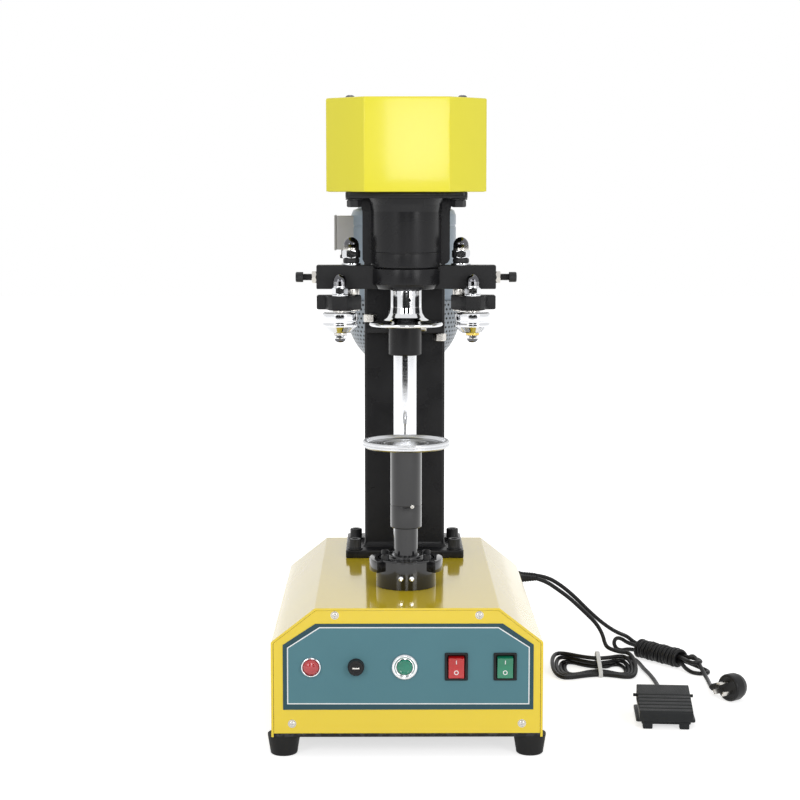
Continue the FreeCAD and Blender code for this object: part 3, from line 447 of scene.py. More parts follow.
# Flat mark on a switch cap, told from the cap's own coordinates: a bar above and a ring below.
def rockerFinish(name, light, dark, x):
    made = finish(name, light, dark, (0.16, 0.28), 1400.0, 0.06, 120.0, Coat_Weight=0.5, Coat_Roughness=0.08)
    tree = made.node_tree
    shader = tree.nodes["Principled BSDF"]
    plain = shader.inputs["Base Color"].links[0].from_socket
    parts = addNode(tree, "ShaderNodeSeparateXYZ")
    tree.links.new(addNode(tree, "ShaderNodeTexCoord").outputs["Object"], parts.inputs[0])
    across = mathNode(tree, "ABSOLUTE", mathNode(tree, "SUBTRACT", parts.outputs["X"], x * mm))
    up = mathNode(tree, "SUBTRACT", parts.outputs["Z"], switch["level"] * mm)
    barUp = mathNode(tree, "ABSOLUTE", mathNode(tree, "SUBTRACT", up, switch["barUp"] * mm))
    bar = mathNode(tree, "MULTIPLY", mathNode(tree, "LESS_THAN", across, switch["barWide"] * mm),
                   mathNode(tree, "LESS_THAN", barUp, switch["barTall"] * mm))
    down = mathNode(tree, "ADD", up, switch["ringDown"] * mm)
    reach = mathNode(tree, "SQRT", mathNode(tree, "ADD", mathNode(tree, "MULTIPLY", across, across),
                                            mathNode(tree, "MULTIPLY", down, down)))
    offRing = mathNode(tree, "ABSOLUTE", mathNode(tree, "SUBTRACT", reach, switch["ringRadius"] * mm))
    ring = mathNode(tree, "LESS_THAN", offRing, switch["ringWide"] * mm)
    mark = mathNode(tree, "ADD", bar, ring, clamp=True)
    tree.links.new(mixColour(tree, mark, plain, (0.93, 0.93, 0.93)), shader.inputs["Base Color"])
    return made


rockerFinish("redRocker", (0.62, 0.012, 0.014), (0.48, 0.007, 0.009), switch["redX"])
rockerFinish("greenRocker", (0.012, 0.27, 0.14), (0.007, 0.2, 0.10), switch["greenX"])

# Label: teal field, a white line a little inside the edge, and a darker border outside the line.
labelMat = finish("label", (0.105, 0.245, 0.285), (0.09, 0.215, 0.255), (0.30, 0.42), 900.0, 0.04, 24.0)
tree = labelMat.node_tree
shader = tree.nodes["Principled BSDF"]
teal = shader.inputs["Base Color"].links[0].from_socket
spot = addNode(tree, "ShaderNodeTexCoord")
labelLine = {"corners": [(-96.2, 146.4), (-131.5, 123.6), (-131.7, 60.8), (134.5, 60.3), (134.5, 124.0),
                         (100.5, 146.1)], "half": 0.62, "white": (0.88, 0.9, 0.9),
             "border": (0.035, 0.085, 0.105)}
corners = labelLine["corners"]
depth = None
for (x0, z0), (x1, z1) in zip(corners, corners[1:] + corners[:1]):
    size = math.hypot(x1 - x0, z1 - z0)
    nx, nz = -(z1 - z0) / size, (x1 - x0) / size
    dot = addNode(tree, "ShaderNodeVectorMath", operation="DOT_PRODUCT")
    tree.links.new(spot.outputs["Object"], dot.inputs[0])
    dot.inputs[1].default_value = (nx, 0.0, nz)
    side = mathNode(tree, "SUBTRACT", dot.outputs["Value"], (nx * x0 + nz * z0) * mm)
    depth = side if depth is None else mathNode(tree, "MINIMUM", depth, side)
outside = mathNode(tree, "LESS_THAN", depth, 0.0)
line = mathNode(tree, "LESS_THAN", mathNode(tree, "ABSOLUTE", depth), labelLine["half"] * mm)
colour = mixColour(tree, outside, teal, labelLine["border"])
tree.links.new(mixColour(tree, line, colour, labelLine["white"]), shader.inputs["Base Color"])

# Fan cover: rows of round holes by angle and height, told from the UV.
fanMat = finish("fanGrey", (0.30, 0.33, 0.36), (0.22, 0.25, 0.28), (0.3, 0.44), 900.0, 0.06, 30.0,
                Metallic=0.6)
tree = fanMat.node_tree
shader = tree.nodes["Principled BSDF"]
plain = shader.inputs["Base Color"].links[0].from_socket
uvParts = addNode(tree, "ShaderNodeSeparateXYZ")
tree.links.new(addNode(tree, "ShaderNodeUVMap").outputs["UV"], uvParts.inputs[0])
holes = {"rowsPerMetre": 170.0, "around": 64.0, "size": 0.07}  # size: radius squared, in cells
row = mathNode(tree, "MULTIPLY", uvParts.outputs["Y"], holes["rowsPerMetre"])
shift = mathNode(tree, "MULTIPLY", mathNode(tree, "FLOOR", row), 0.5)
turn = mathNode(tree, "ADD", mathNode(tree, "MULTIPLY", uvParts.outputs["X"], holes["around"]), shift)
cellU = mathNode(tree, "SUBTRACT", mathNode(tree, "FRACT", turn), 0.5)
cellV = mathNode(tree, "SUBTRACT", mathNode(tree, "FRACT", row), 0.5)
offCentre = mathNode(tree, "ADD", mathNode(tree, "MULTIPLY", cellU, cellU),
                     mathNode(tree, "MULTIPLY", cellV, cellV))
hole = mathNode(tree, "LESS_THAN", offCentre, holes["size"])
tree.links.new(mixColour(tree, hole, plain, (0.01, 0.01, 0.01)), shader.inputs["Base Color"])
print("materials:", len(materials))


# Surfaces below are worked out in millimetres.
# Rounds an outline's corners: each becomes a short quadratic arc, at most 45% of its shorter side.
def rounded(points, radius, closed=True, steps=4):
    pts = np.array([p[:2] for p in points], float)
    own = [p[2] if len(p) > 2 else radius for p in points]
    count = len(pts)
    made = []
    for i, here in enumerate(pts):
        if own[i] <= 0 or (not closed and i in (0, count - 1)):
            made.append(here[None])
            continue
        before, after = pts[i - 1] - here, pts[(i + 1) % count] - here
        sizes = np.linalg.norm(before), np.linalg.norm(after)
        back, ahead = before / sizes[0], after / sizes[1]
        half = math.acos(max(-1.0, min(1.0, float(back @ ahead)))) / 2
        reach = min(own[i] / max(math.tan(half), 0.05), 0.45 * min(sizes))
        t = np.linspace(0, 1, steps + 1)[:, None]
        start, end = here + back * reach, here + ahead * reach
        made.append((1 - t) ** 2 * start + 2 * t * (1 - t) * here + t ** 2 * end)
    return np.vstack(made)


# Moves a closed counter-clockwise outline inwards along the mean normal of each corner's two sides.
def insetBy(outline, amount):
    before = outline - np.roll(outline, 1, axis=0)
    after = np.roll(outline, -1, axis=0) - outline
    before /= np.linalg.norm(before, axis=1, keepdims=True)
    after /= np.linalg.norm(after, axis=1, keepdims=True)
    left = np.stack([-before[:, 1] - after[:, 1], before[:, 0] + after[:, 0]], axis=1)
    scale = 2 / np.maximum(np.sum(left * left, axis=1, keepdims=True), 0.5)
    return outline + left * scale * amount


# Quads of a grid of rings: rows of points, closed along each row.
def ringQuads(rows, count):
    i, j = np.meshgrid(np.arange(rows - 1), np.arange(count), indexing="ij")
    k = (j + 1) % count
    return np.stack([i * count + j, i * count + k, (i + 1) * count + k, (i + 1) * count + j],
                    axis=-1).reshape(-1, 4)


# Body of revolution: profile (radius, height), both ends on the axis or joined to each other.
def lathe(profile, centre=(0, 0, 0), axis="z", radius=0.6, steps=72, closed=False, corner=3, wave=None):
    line = rounded(profile, radius, closed=closed, steps=corner)
    if closed:
        line = np.vstack([line, line[:1]])
    angle = np.arange(steps) * 2 * math.pi / steps
    r, h = line[:, 0][:, None], line[:, 1][:, None]
    if wave is not None:
        r = r * wave(angle, h)
    across, up, along = r * np.cos(angle), r * np.sin(angle), h + 0 * angle
    turns = {"z": (across, up, along), "-y": (across, -along, up), "x": (along, across, up),
             "-x": (-along, -across, up)}
    verts = np.stack(turns[axis], axis=-1).reshape(-1, 3) + np.array(centre, float)
    quads = ringQuads(len(line), steps)
    run = np.concatenate([[0], np.cumsum(np.linalg.norm(np.diff(line, axis=0), axis=1))]) * mm
    column, level = quads[:, 0] % steps, quads[:, 0] // steps
    u, v = column / steps, run[level]
    uNext, vNext = (column + 1) / steps, run[level + 1]
    uv = np.stack([np.stack([u, v], 1), np.stack([uNext, v], 1), np.stack([uNext, vNext], 1),
                   np.stack([u, vNext], 1)], 1)
    return {"v": verts, "f": quads.tolist(), "uv": uv.reshape(-1, 2)}


# Stack of copies of one outline, each at a level and moved inwards by an amount, capped at both ends.
def stacked(outline, stations, plane="xy", corner=0.0, steps=4):
    ring = rounded(outline, corner, steps=steps) if corner else np.array([p[:2] for p in outline], float)
    count = len(ring)
    rows = []
    for inward, level in stations:
        shifted = insetBy(ring, inward)
        rows.append(np.column_stack([shifted, np.full(count, level)]))
    flat = np.vstack(rows)
    order = {"xy": (0, 1, 2), "xz": (0, 2, 1), "yz": (2, 0, 1)}[plane]
    faces = ringQuads(len(stations), count).tolist()
    faces.append(list(range(count))[::-1])
    faces.append([(len(stations) - 1) * count + i for i in range(count)])
    return {"v": flat[:, order], "f": faces, "uv": None}


# Plate or bar from an outline: low to high with softened rims.
def slab(outline, low, high, plane="xy", corner=0.0, rim=0.6):
    b = min(rim, (high - low) * 0.45)
    stations = [(b, low), (b * 0.3, low + b * 0.3), (0, low + b), (0, high - b), (b * 0.3, high - b * 0.3),
                (b, high)]
    return stacked(outline, stations, plane, corner)


# Block between two corners, its upright edges and its rims softened.
def box(x0, x1, y0, y1, z0, z1, corner=1.5, rim=0.6):
    return slab([(x0, y0), (x1, y0), (x1, y1), (x0, y1)], z0, z1, "xy", corner, rim)


# Hexagon with turned corners: radius = the smaller of the hexagon's and a cone's near each end.
def hexNut(x, y, low, high, radius, axis="z", centre=(0, 0, 0)):
    flat = radius * math.cos(math.pi / 6)
    levels = np.array([0, 0.12, 0.3, 0.6, 1.0, 1.6])
    size = high - low
    heights = np.concatenate([levels, size - levels[::-1]])
    angle = np.arange(72) * 2 * math.pi / 72
    hexR = flat / np.cos((angle % (math.pi / 3)) - math.pi / 6)
    cone = flat * 0.95 + 1.7 * np.minimum(heights, size - heights)
    r = np.minimum(hexR[None, :], cone[:, None])
    rows = [np.stack([r * np.cos(angle), r * np.sin(angle), heights[:, None] + low + 0 * angle], -1)]
    ends = [np.stack([0 * angle, 0 * angle, level + 0 * angle], -1)[None] for level in (low, high)]
    grid = np.concatenate([ends[0]] + rows + [ends[1]])
    quads = ringQuads(len(grid), 72)
    v = grid.reshape(-1, 3)
    if axis in ("x", "-x"):
        v = v[:, (2, 0, 1)] * ([1, 1, 1] if axis == "x" else [-1, -1, 1])
    return {"v": v + np.array([x, y, 0]) + np.array(centre, float), "f": quads.tolist(), "uv": None}


# A part carried by a matrix.
def moved(part, matrix):
    v = np.column_stack([part["v"], np.ones(len(part["v"]))]) @ np.array(matrix).T
    return {"v": v[:, :3], "f": part["f"], "uv": part["uv"]}


# A part mirrored in X, its faces turned round so that they still point outwards.
def mirror(part):
    return {"v": part["v"] * [-1, 1, 1], "f": [f[::-1] for f in part["f"]], "uv": None}


# One object from (part, material) pairs: poles merged, normals outwards, smooth but for sharp edges.
def piece(name, pairs, body, stands, sharp=32):
    mesh = bpy.data.meshes.new(name)
    verts, faces, index, uvs, used = [], [], [], [], []
    start = 0
    for part, material in pairs:
        if material not in used:
            used.append(material)
        verts.append(part["v"] * mm)
        faces += [[start + k for k in f] for f in part["f"]]
        index += [used.index(material)] * len(part["f"])
        loops = sum(len(f) for f in part["f"])
        uvs.append(part["uv"] if part["uv"] is not None else np.zeros((loops, 2)))
        start += len(part["v"])
    mesh.from_pydata(np.vstack(verts).tolist(), [], faces)
    mesh.uv_layers.new(name="UVMap")
    mesh.uv_layers[0].data.foreach_set("uv", np.vstack(uvs).astype(np.float32).ravel())
    mesh.polygons.foreach_set("material_index", index)
    for material in used:
        mesh.materials.append(materials[material])
    work = bmesh.new()
    work.from_mesh(mesh)
    bmesh.ops.remove_doubles(work, verts=work.verts, dist=2e-6)
    bmesh.ops.dissolve_degenerate(work, edges=work.edges, dist=1e-7)
    bmesh.ops.recalc_face_normals(work, faces=work.faces)
    work.to_mesh(mesh)
    work.free()
    mesh.polygons.foreach_set("use_smooth", np.ones(len(mesh.polygons), bool))
    mesh.set_sharp_from_angle(angle=math.radians(sharp))
    obj = bpy.data.objects.new(name, mesh)
    bpy.context.scene.collection.objects.link(obj)
    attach(obj, body)
    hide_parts(*stands)
    return obj


# How strongly each painted finish mirrors its surroundings.
shine = {"blackPaint": 0.22, "castBlack": 0.2, "glossBlack": 0.3, "blackSteel": 0.25, "label": 0.2,
         "yellowPaint": 0.3, "headYellowPaintedLit": 0.25, "rubber": 0.2, "blackPlastic": 0.25, "pedalPlastic": 0.2,
         "cordVinyl": 0.25}
for name, amount in shine.items():
    paint = materials[name].node_tree.nodes["Principled BSDF"]
    paint.inputs["Specular IOR Level"].default_value = amount


# Turned disc on an upright axis.
def disc(reach, low, high, x, y, edge=0.4, steps=56):
    return lathe([(0, low, 0), (reach, low), (reach, high), (0, high, 0)], (x, y, 0), radius=edge,
                 steps=steps)


# Ribs on a taper: each steps out, runs level and steps back into a groove, one pitch further along.
def ribs(spec):
    made = []
    for k in range(spec["count"]):
        at = spec["first"] + spec["pitch"] * k
        top = spec["size"] - spec["taper"] * k
        low = top - spec["groove"]
        end = at + spec["width"]
        made += [(top, at, 0.3), (top, end, 0.3), (low, end + 0.3, 0.2), (low, end + 1.2, 0.2)]
    return made


# The two free cords lie on the floor at the lowest.
mainsPoints = [(x, y, max(z, cordSpec["rest"])) for x, y, z in mainsPoints]
pedalPoints = [(x, y, max(z, cordSpec["rest"])) for x, y, z in pedalPoints]
mainsCord = cordCurve("mainsCord", mainsPoints, materials["cordVinyl"])
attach(mainsCord, "frame")
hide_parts("mains_cord", "mains_bundle")
pedalCord = cordCurve("pedalCord", pedalPoints, materials["cordVinyl"])
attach(pedalCord, "frame")
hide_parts("pedal_cord", "pedal_hank")

# Reliefs: tapered ribbed sleeves where the cords leave the side.
relief = {"places": ((268.0, 123.0), (256.0, 121.5)), "wall": 150,
          "flange": [(0, -3, 0), (5.9, -3), (5.9, 2), (5.0, 2.8)],
          "ribs": {"count": 5, "first": 4.2, "pitch": 3.2, "width": 1.8, "size": 4.9, "taper": 0.28,
                   "groove": 0.75},
          "tip": [(3.5, 20.5), (3.3, 22.0), (0, 22.0, 0)]}
reliefs = []
for y, z in relief["places"]:
    profile = relief["flange"] + ribs(relief["ribs"]) + relief["tip"]
    reliefs.append((lathe(profile, (relief["wall"], y, z), "x", steps=40), "blackPlastic"))
piece("cordReliefs", reliefs, "frame", ["cord_reliefs"])

# Tie: a band round the hank's waist, low in front and high over the stacked turns.
tie = {"outline": [(210.8, 0.4), (261.5, 0.4), (261.5, 21.0), (257.0, 24.2), (250.0, 24.2), (211.5, 8.4)],
       "round": 2.6, "thick": 0.9, "half": 2.6, "flatHalf": 2.2, "ease": 0.3}
band = rounded(tie["outline"], tie["round"], steps=5)
inner = insetBy(band, tie["thick"])
eased = insetBy(band, tie["ease"])
x = hank["x"]
half = tie["half"]
loops = [(band, x - tie["flatHalf"]), (band, x + tie["flatHalf"]), (eased, x + half), (inner, x + half),
         (inner, x - half), (eased, x - half)]
rows = [np.column_stack([np.full(len(ring), level), ring]) for ring, level in loops]
faces = ringQuads(len(rows) + 1, len(band)) % (len(rows) * len(band))
strap = {"v": np.vstack(rows), "f": faces.tolist(), "uv": None}
piece("hankTie", [(strap, "tieWhite")], "frame", ["hank_tie"])

# Plug: round body with a grip step, ribbed entry, three flat blades.
plugSpec = {"centre": (404, 106, 17.2), "facing": (-0.8, -0.6, 0.0), "entryEnd": (382, 136, 8.5),
            "entryLong": 25,
            "body": [(0, -14, 0), (7.5, -14), (11, -12.4), (14.8, -8), (16.2, -3), (16.9, -2.4), (16.9, 8.6),
                     (16.0, 10.8), (13.2, 11), (12.8, 10.2), (0, 10.2, 0)],
            "ribs": {"count": 4, "first": 11.2, "pitch": 3.4, "width": 1.7, "size": 5.9, "taper": 0.5,
                     "groove": 0.8},
            "blade": [(7, -3.1), (8.7, -3.1), (8.7, 3.1), (7, 3.1)], "bladeFrom": 9.5, "bladeTo": 27.6,
            "bladeAngles": (90, 210, 330)}
plugCentre = Vector(plugSpec["centre"])
plugTurn = Vector(plugSpec["facing"]).to_track_quat("Z", "Y").to_matrix().to_4x4()
plugPlace = Matrix.Translation(plugCentre) @ plugTurn


# Grip flutes: the radius drops a little in 24 bands round the back half.
def plugFlutes(angle, height):
    return 1 - 0.02 * (np.cos(24 * angle) > 0.2) * (height < -3.5) * (height > -12)


body = moved(lathe(plugSpec["body"], radius=1.2, steps=64, wave=plugFlutes), plugPlace)
entryEnd = Vector(plugSpec["entryEnd"])
entryWay = (entryEnd - plugCentre).normalized()
entryStart = Matrix.Translation(entryEnd - entryWay * plugSpec["entryLong"])
entryTurn = entryWay.to_track_quat("Z", "Y").to_matrix().to_4x4()
grip = [(0, 0, 0), (6.6, 0), (6.6, 9.5)] + ribs(plugSpec["ribs"]) + [(3.4, 24.0), (3.2, 25.0), (0, 25.0, 0)]
grip = moved(lathe(grip, steps=40), entryStart @ entryTurn)
plug = piece("mainsPlug", [(body, "blackPlastic"), (grip, "blackPlastic")], "frame", ["mains_plug"])
blades = []
for angle in plugSpec["bladeAngles"]:
    blade = slab(plugSpec["blade"], plugSpec["bladeFrom"], plugSpec["bladeTo"], corner=0.5, rim=0.7)
    blades.append((moved(blade, plugPlace @ Matrix.Rotation(math.radians(angle), 4, "Z")), "screwSteel"))
plugBlades = piece("plugBlades", blades, "frame", ["plug_blades"])
print("cords done")


# Folded sheet: outer and inner paths joined into one ring, carried along Y.
def foldedSheet(outer, inner, stations, outerBend, innerBend):
    out = rounded(outer, outerBend, closed=False, steps=5)
    back = rounded(inner, innerBend, closed=False, steps=5)
    ring = np.vstack([out, back])
    count, half = len(ring), len(out)
    rows = [np.column_stack([ring[:, 0], np.full(count, y), ring[:, 1]]) for y in stations]
    faces = ringQuads(len(stations), count).tolist()
    for row in (0, len(stations) - 1):
        for i in range(half - 1):
            faces.append([row * count + k for k in (i, i + 1, count - 2 - i, count - 1 - i)])
    return {"v": np.vstack(rows), "f": faces, "uv": None}


baseCover = {"outer": [(-150, 23), (-150, 130), (-101.4, 168), (101.4, 168), (150, 130), (150, 23)],
             "inner": [(147.5, 23), (147.5, 128.8), (100.5, 165.5), (-100.5, 165.5), (-147.5, 128.8),
                       (-147.5, 23)],
             "along": [-122, 298], "outerBend": 3.2, "innerBend": 1.2}
cover = foldedSheet(baseCover["outer"], baseCover["inner"], baseCover["along"], baseCover["outerBend"],
                    baseCover["innerBend"])
piece("baseCover", [(cover, "yellowPaint")], "frame", ["base_cover"])


# Pan head with a cross recess: a dome over the radius, lowered where |x| or |y| is small, on a short skirt.
def crossHead(centre, axis, reach, rise, width, arm):
    skirt = -0.6
    angle = np.arange(64) * 2 * math.pi / 64
    r, a = np.linspace(0, reach, 15)[:, None], angle[None, :]
    x, y = r * np.cos(a), r * np.sin(a)
    high = rise * np.sqrt(np.clip(1 - (r / reach) ** 2.6, 0, 1)) + 0 * a
    inCross = ((np.abs(x) < width) | (np.abs(y) < width)) & (r < arm)
    high = np.where(inCross, high - 0.9 * (1 - r / arm * 0.6), high)
    low = skirt + 0 * x[-1:]
    grid = np.concatenate([np.stack([x, y, high], -1), np.stack([x[-1:], y[-1:], low], -1),
                           np.stack([0 * x[-1:], 0 * y[-1:], low], -1)])
    v = grid.reshape(-1, 3)
    if axis == "-y":
        v = v[:, (0, 2, 1)] * [1, -1, 1]
    return {"v": v + np.array(centre, float), "f": ringQuads(len(grid), 64).tolist(), "uv": None}


panelScrew = {"places": ((-79.5, 160.0), (79.5, 160.0), (-127.0, 38.0), (127.0, 38.0)), "face": -121.5,
              "reach": 4.0, "rise": 2.3, "slot": 0.55, "arm": 2.5,
              "washer": [(0, 0, 0), (4.6, 0), (4.6, 0.45), (0, 0.45, 0)]}
heads = []
for x, z in panelScrew["places"]:
    place = (x, panelScrew["face"], z)
    head = crossHead(place, "-y", panelScrew["reach"], panelScrew["rise"], panelScrew["slot"],
                     panelScrew["arm"])
    heads.append((head, "screwSteel"))
    heads.append((lathe(panelScrew["washer"], place, "-y", radius=0.15, steps=40), "screwSteel"))
piece("panelScrews", heads, "frame", ["panel_screws"])

foot = {"profile": [(0, 7, 0), (5.6, 7), (6.2, 0.6), (13.6, 0), (14.9, 1.2), (15.3, 3.5), (18.1, 21.0),
                    (18.1, 23.0, 0.4), (0, 23.0, 0)],
        "side": 137.0, "front": -104.5, "back": 280.5, "round": 1.0}
feet = []
for x in (-foot["side"], foot["side"]):
    for y in (foot["front"], foot["back"]):
        feet.append((lathe(foot["profile"], (x, y, 0), radius=foot["round"], steps=64), "rubber"))
piece("rubberFeet", feet, "frame", ["rubber_feet"], sharp=40)

# Controls stand on the label's face, with their centres on one level.
face = -122.3
level = switch["level"]
lamp = {"x": -105.7,
        "ring": [(8.9, -2), (11.35, -0.2), (11.35, 2.6), (10.6, 4.1), (9.7, 4.5), (9.1, 3.9), (8.9, 0.5)],
        "back": [(0, -26, 0), (7.8, -26), (7.8, -1, 0.2), (8.9, -1, 0.2), (8.9, 0.5, 0), (0, 0.5, 0)],
        "lens": [(0, 0.6, 0), (9.0, 0.6), (9.0, 3.6), (8.2, 5.6), (6.2, 7.5), (3.4, 8.45), (0, 8.7, 0)]}
place = (lamp["x"], face, level)
lampPairs = [(lathe(lamp["ring"], place, "-y", radius=0.5, closed=True), "chrome"),
             (lathe(lamp["back"], place, "-y", radius=0.3), "blackPlastic")]
piece("lampBezel", lampPairs, "frame", ["lamp_bezel"])


# Lens facets: the radius dips in 16 waves above its foot.
def lensFacets(angle, height):
    return 1 - 0.018 * np.abs(np.sin(8 * angle)) * (height > 1.2)


lens = lathe(lamp["lens"], place, "-y", radius=1.6, steps=96, wave=lensFacets)
piece("lampLens", [(lens, "redLens")], "frame", ["lamp_lens"], sharp=60)

fuse = {"x": -56.2, "slotHalf": (3.9, 0.8), "slotDepth": (8.9, 7.9),
        "profile": [(0, -38, 0), (6.3, -38), (6.3, -1), (9.2, -0.4), (9.2, 1.7), (8.6, 2.0), (8.6, 7.9),
                    (7.6, 9.1),
                    (5.0, 9.2), (4.4, 8.3), (0, 8.3, 0)]}


# Fuse cap knurl: 26 shallow flutes between its two rims.
def fuseKnurl(angle, height):
    return 1 - 0.03 * (np.sin(26 * angle) > 0) * (height > 2.4) * (height < 7.6)


cap = lathe(fuse["profile"], (fuse["x"], face, level), "-y", radius=0.5, steps=96, wave=fuseKnurl)
wide, tall = fuse["slotHalf"]
near, far = fuse["slotDepth"]
slotOutline = [(fuse["x"] - wide, level - tall), (fuse["x"] + wide, level - tall),
               (fuse["x"] + wide, level + tall),
               (fuse["x"] - wide, level + tall)]
slot = slab(slotOutline, face - near, face - far, "xz", 0.3, 0.2)
piece("fuseHolder", [(cap, "blackPlastic"), (slot, "screwSteel")], "frame", ["fuse_holder"])

jog = {"x": -2.7,
       "ring": [(9.0, -2), (14.65, -0.3), (14.65, 2.2), (13.9, 3.6), (12.6, 4.7), (11.6, 4.8), (10.4, 3.6),
                (9.6, 3.3), (9.0, 3.6), (9.0, 0)],
       "back": [(0, -30, 0), (10.6, -30), (10.6, -12.2), (9.0, -12), (0, -12, 0)],
       "button": [(0, -8, 0), (8.6, -8), (8.6, 4.0), (7.6, 5.1), (6.6, 5.2), (5.6, 4.7), (0, 4.4, 0)]}
place = (jog["x"], face, level)
jogPairs = [(lathe(jog["ring"], place, "-y", radius=0.6, closed=True, steps=96), "chrome"),
            (lathe(jog["back"], place, "-y", radius=0.4), "blackPlastic")]
piece("jogBezel", jogPairs, "frame", ["jog_bezel"])
button = lathe(jog["button"], place, "-y", radius=0.7, steps=96)
piece("jogButton", [(button, "greenButton")], "jog", ["jog_button"])


# Rectangle about a switch's centre, in X and Z.
def switchOutline(x, halfWide, halfTall, corner):
    return rounded([(x - halfWide, level - halfTall), (x + halfWide, level - halfTall),
                    (x + halfWide, level + halfTall), (x - halfWide, level + halfTall)], corner)


# Switch frame: an outer and an inner outline joined through a sloping rim, and a well behind.
def openFrame(x):
    outer = switchOutline(x, 12.8, 15.5, 1.6)
    mouth = switchOutline(x, 9.15, 12.4, 1.0)
    stations = ((insetBy(outer, 0), -0.02), (outer, -1.6), (insetBy(outer, 0.9), -2.5),
                (insetBy(outer, 1.9), -2.45),
                (insetBy(mouth, -0.5), -1.5), (mouth, -1.0), (mouth, 14), (insetBy(mouth, 9.0), 14))
    rows = [np.column_stack([ring[:, 0], np.full(len(ring), face + out), ring[:, 1]]) for ring,
            out in stations]
    return {"v": np.vstack(rows), "f": ringQuads(len(rows), len(outer)).tolist(), "uv": None}


frames = [(openFrame(switch["redX"]), "blackPlastic"), (openFrame(switch["greenX"]), "blackPlastic")]
piece("rockerFrames", frames, "frame", ["rocker_frames"])


# Rocker cap: a dished front (a smooth valley at the pivot), turned about it and carried across its width.
def rockerCap(x):
    half = switch["capHalf"]
    height = np.linspace(-half, half, 25)
    front = -6.0 - 1.9 * (np.abs(height) / half) ** 1.6
    outline = np.vstack([np.column_stack([front, height]), [(4.0, half), (4.0, -half)]])
    turn = math.radians(switch["tilt"])
    y = face + switch["pivot"] + outline[:, 0] * math.cos(turn) - outline[:, 1] * math.sin(turn)
    z = level + outline[:, 0] * math.sin(turn) + outline[:, 1] * math.cos(turn)
    ring = np.column_stack([y, z])[::-1]
    stations = [(0.7, x - 8.7), (0.2, x - 8.5), (0, x - 8.0), (0, x + 8.0), (0.2, x + 8.5), (0.7, x + 8.7)]
    return stacked(ring, stations, "yz")


redCap = rockerCap(switch["redX"])
piece("rockerRed", [(redCap, "redRocker")], "rocker_one", ["rocker_red"], sharp=45)
greenCap = rockerCap(switch["greenX"])
piece("rockerGreen", [(greenCap, "greenRocker")], "rocker_two", ["rocker_green"], sharp=45)
print("base done")

# Column: a rounded tube that flares into the weld at its foot plate.
column = {"tube": [(-50, 183), (50, 183), (50, 261), (-50, 261)], "tubeCorner": 4.0,
          "flare": [(-3.4, 178.0), (-2.6, 178.9), (-1.2, 180.6), (-0.4, 182.6), (0, 185.0)],
          "top": [(0, 614.6), (0.4, 615.0)],
          "foot": [(-73.5, 157), (73.5, 157), (73.5, 277), (-73.5, 277)], "footLow": 168, "footHigh": 178}
tube = stacked(column["tube"], column["flare"] + column["top"], corner=column["tubeCorner"], steps=5)
footPlate = slab(column["foot"], column["footLow"], column["footHigh"], corner=3.0, rim=1.2)
piece("column", [(tube, "blackPaint"), (footPlate, "blackPaint")], "frame", ["column"])


# Cap screw: a head knurled by waves of its radius, with a round socket.
def capScrew(centre, axis, reach, height, socket, depth, knurl=28):
    profile = [(0, 0, 0), (reach, 0), (reach, height - 0.9), (reach - 0.9, height),
               (socket + 0.4, height, 0.2),
               (socket, height - 0.4, 0), (socket, height - depth, 0), (0, height - depth - 0.6, 0)]

    def wave(angle, along):
        return 1 - 0.035 * (np.sin(knurl * angle) > 0.0) * (along < height - 1.2) * (along > 0.4)

    return lathe(profile, centre, axis, radius=0.4, steps=knurl * 4, wave=wave)


footBolt = {"side": 62.0, "rows": (168.0, 240.0), "low": 178, "washer": 9.4, "seat": 179.6, "reach": 7.6,
            "height": 11.4, "socket": 3.8, "depth": 6}
bolts = []
for x in (-footBolt["side"], footBolt["side"]):
    for y in footBolt["rows"]:
        head = capScrew((x, y, footBolt["seat"]), "z", footBolt["reach"], footBolt["height"],
                        footBolt["socket"],
                        footBolt["depth"])
        bolts.append((head, "blackSteel"))
        bolts.append((disc(footBolt["washer"], footBolt["low"], footBolt["seat"], x, y, steps=48),
                      "blackSteel"))
piece("columnBolts", bolts, "frame", ["column_bolts"])

# Lift hub: a turned boss, and a flange that leaves out its front part, told by the angle.
hub = {"boss": [(0, 168, 0), (34.5, 168), (34.5, 199.6), (33, 201.0), (20.6, 201.0), (20, 201.6), (20, 203.4),
                (19.3, 204), (13.56, 204), (13.5, 196, 0), (0, 196, 0)],
       "flange": 42.5, "inside": 30, "low": 187, "high": 201, "open": (-38, 218)}
hubBoss = lathe(hub["boss"], radius=0.8, steps=96)
angle = np.linspace(math.radians(hub["open"][0]), math.radians(hub["open"][1]), 72)
arc = np.column_stack([np.cos(angle), np.sin(angle)])
flange = slab(np.vstack([hub["flange"] * arc, hub["inside"] * arc[::-1]]), hub["low"], hub["high"], rim=1.0)
piece("liftHub", [(hubBoss, "glossBlack"), (flange, "glossBlack")], "frame", ["lift_hub"])

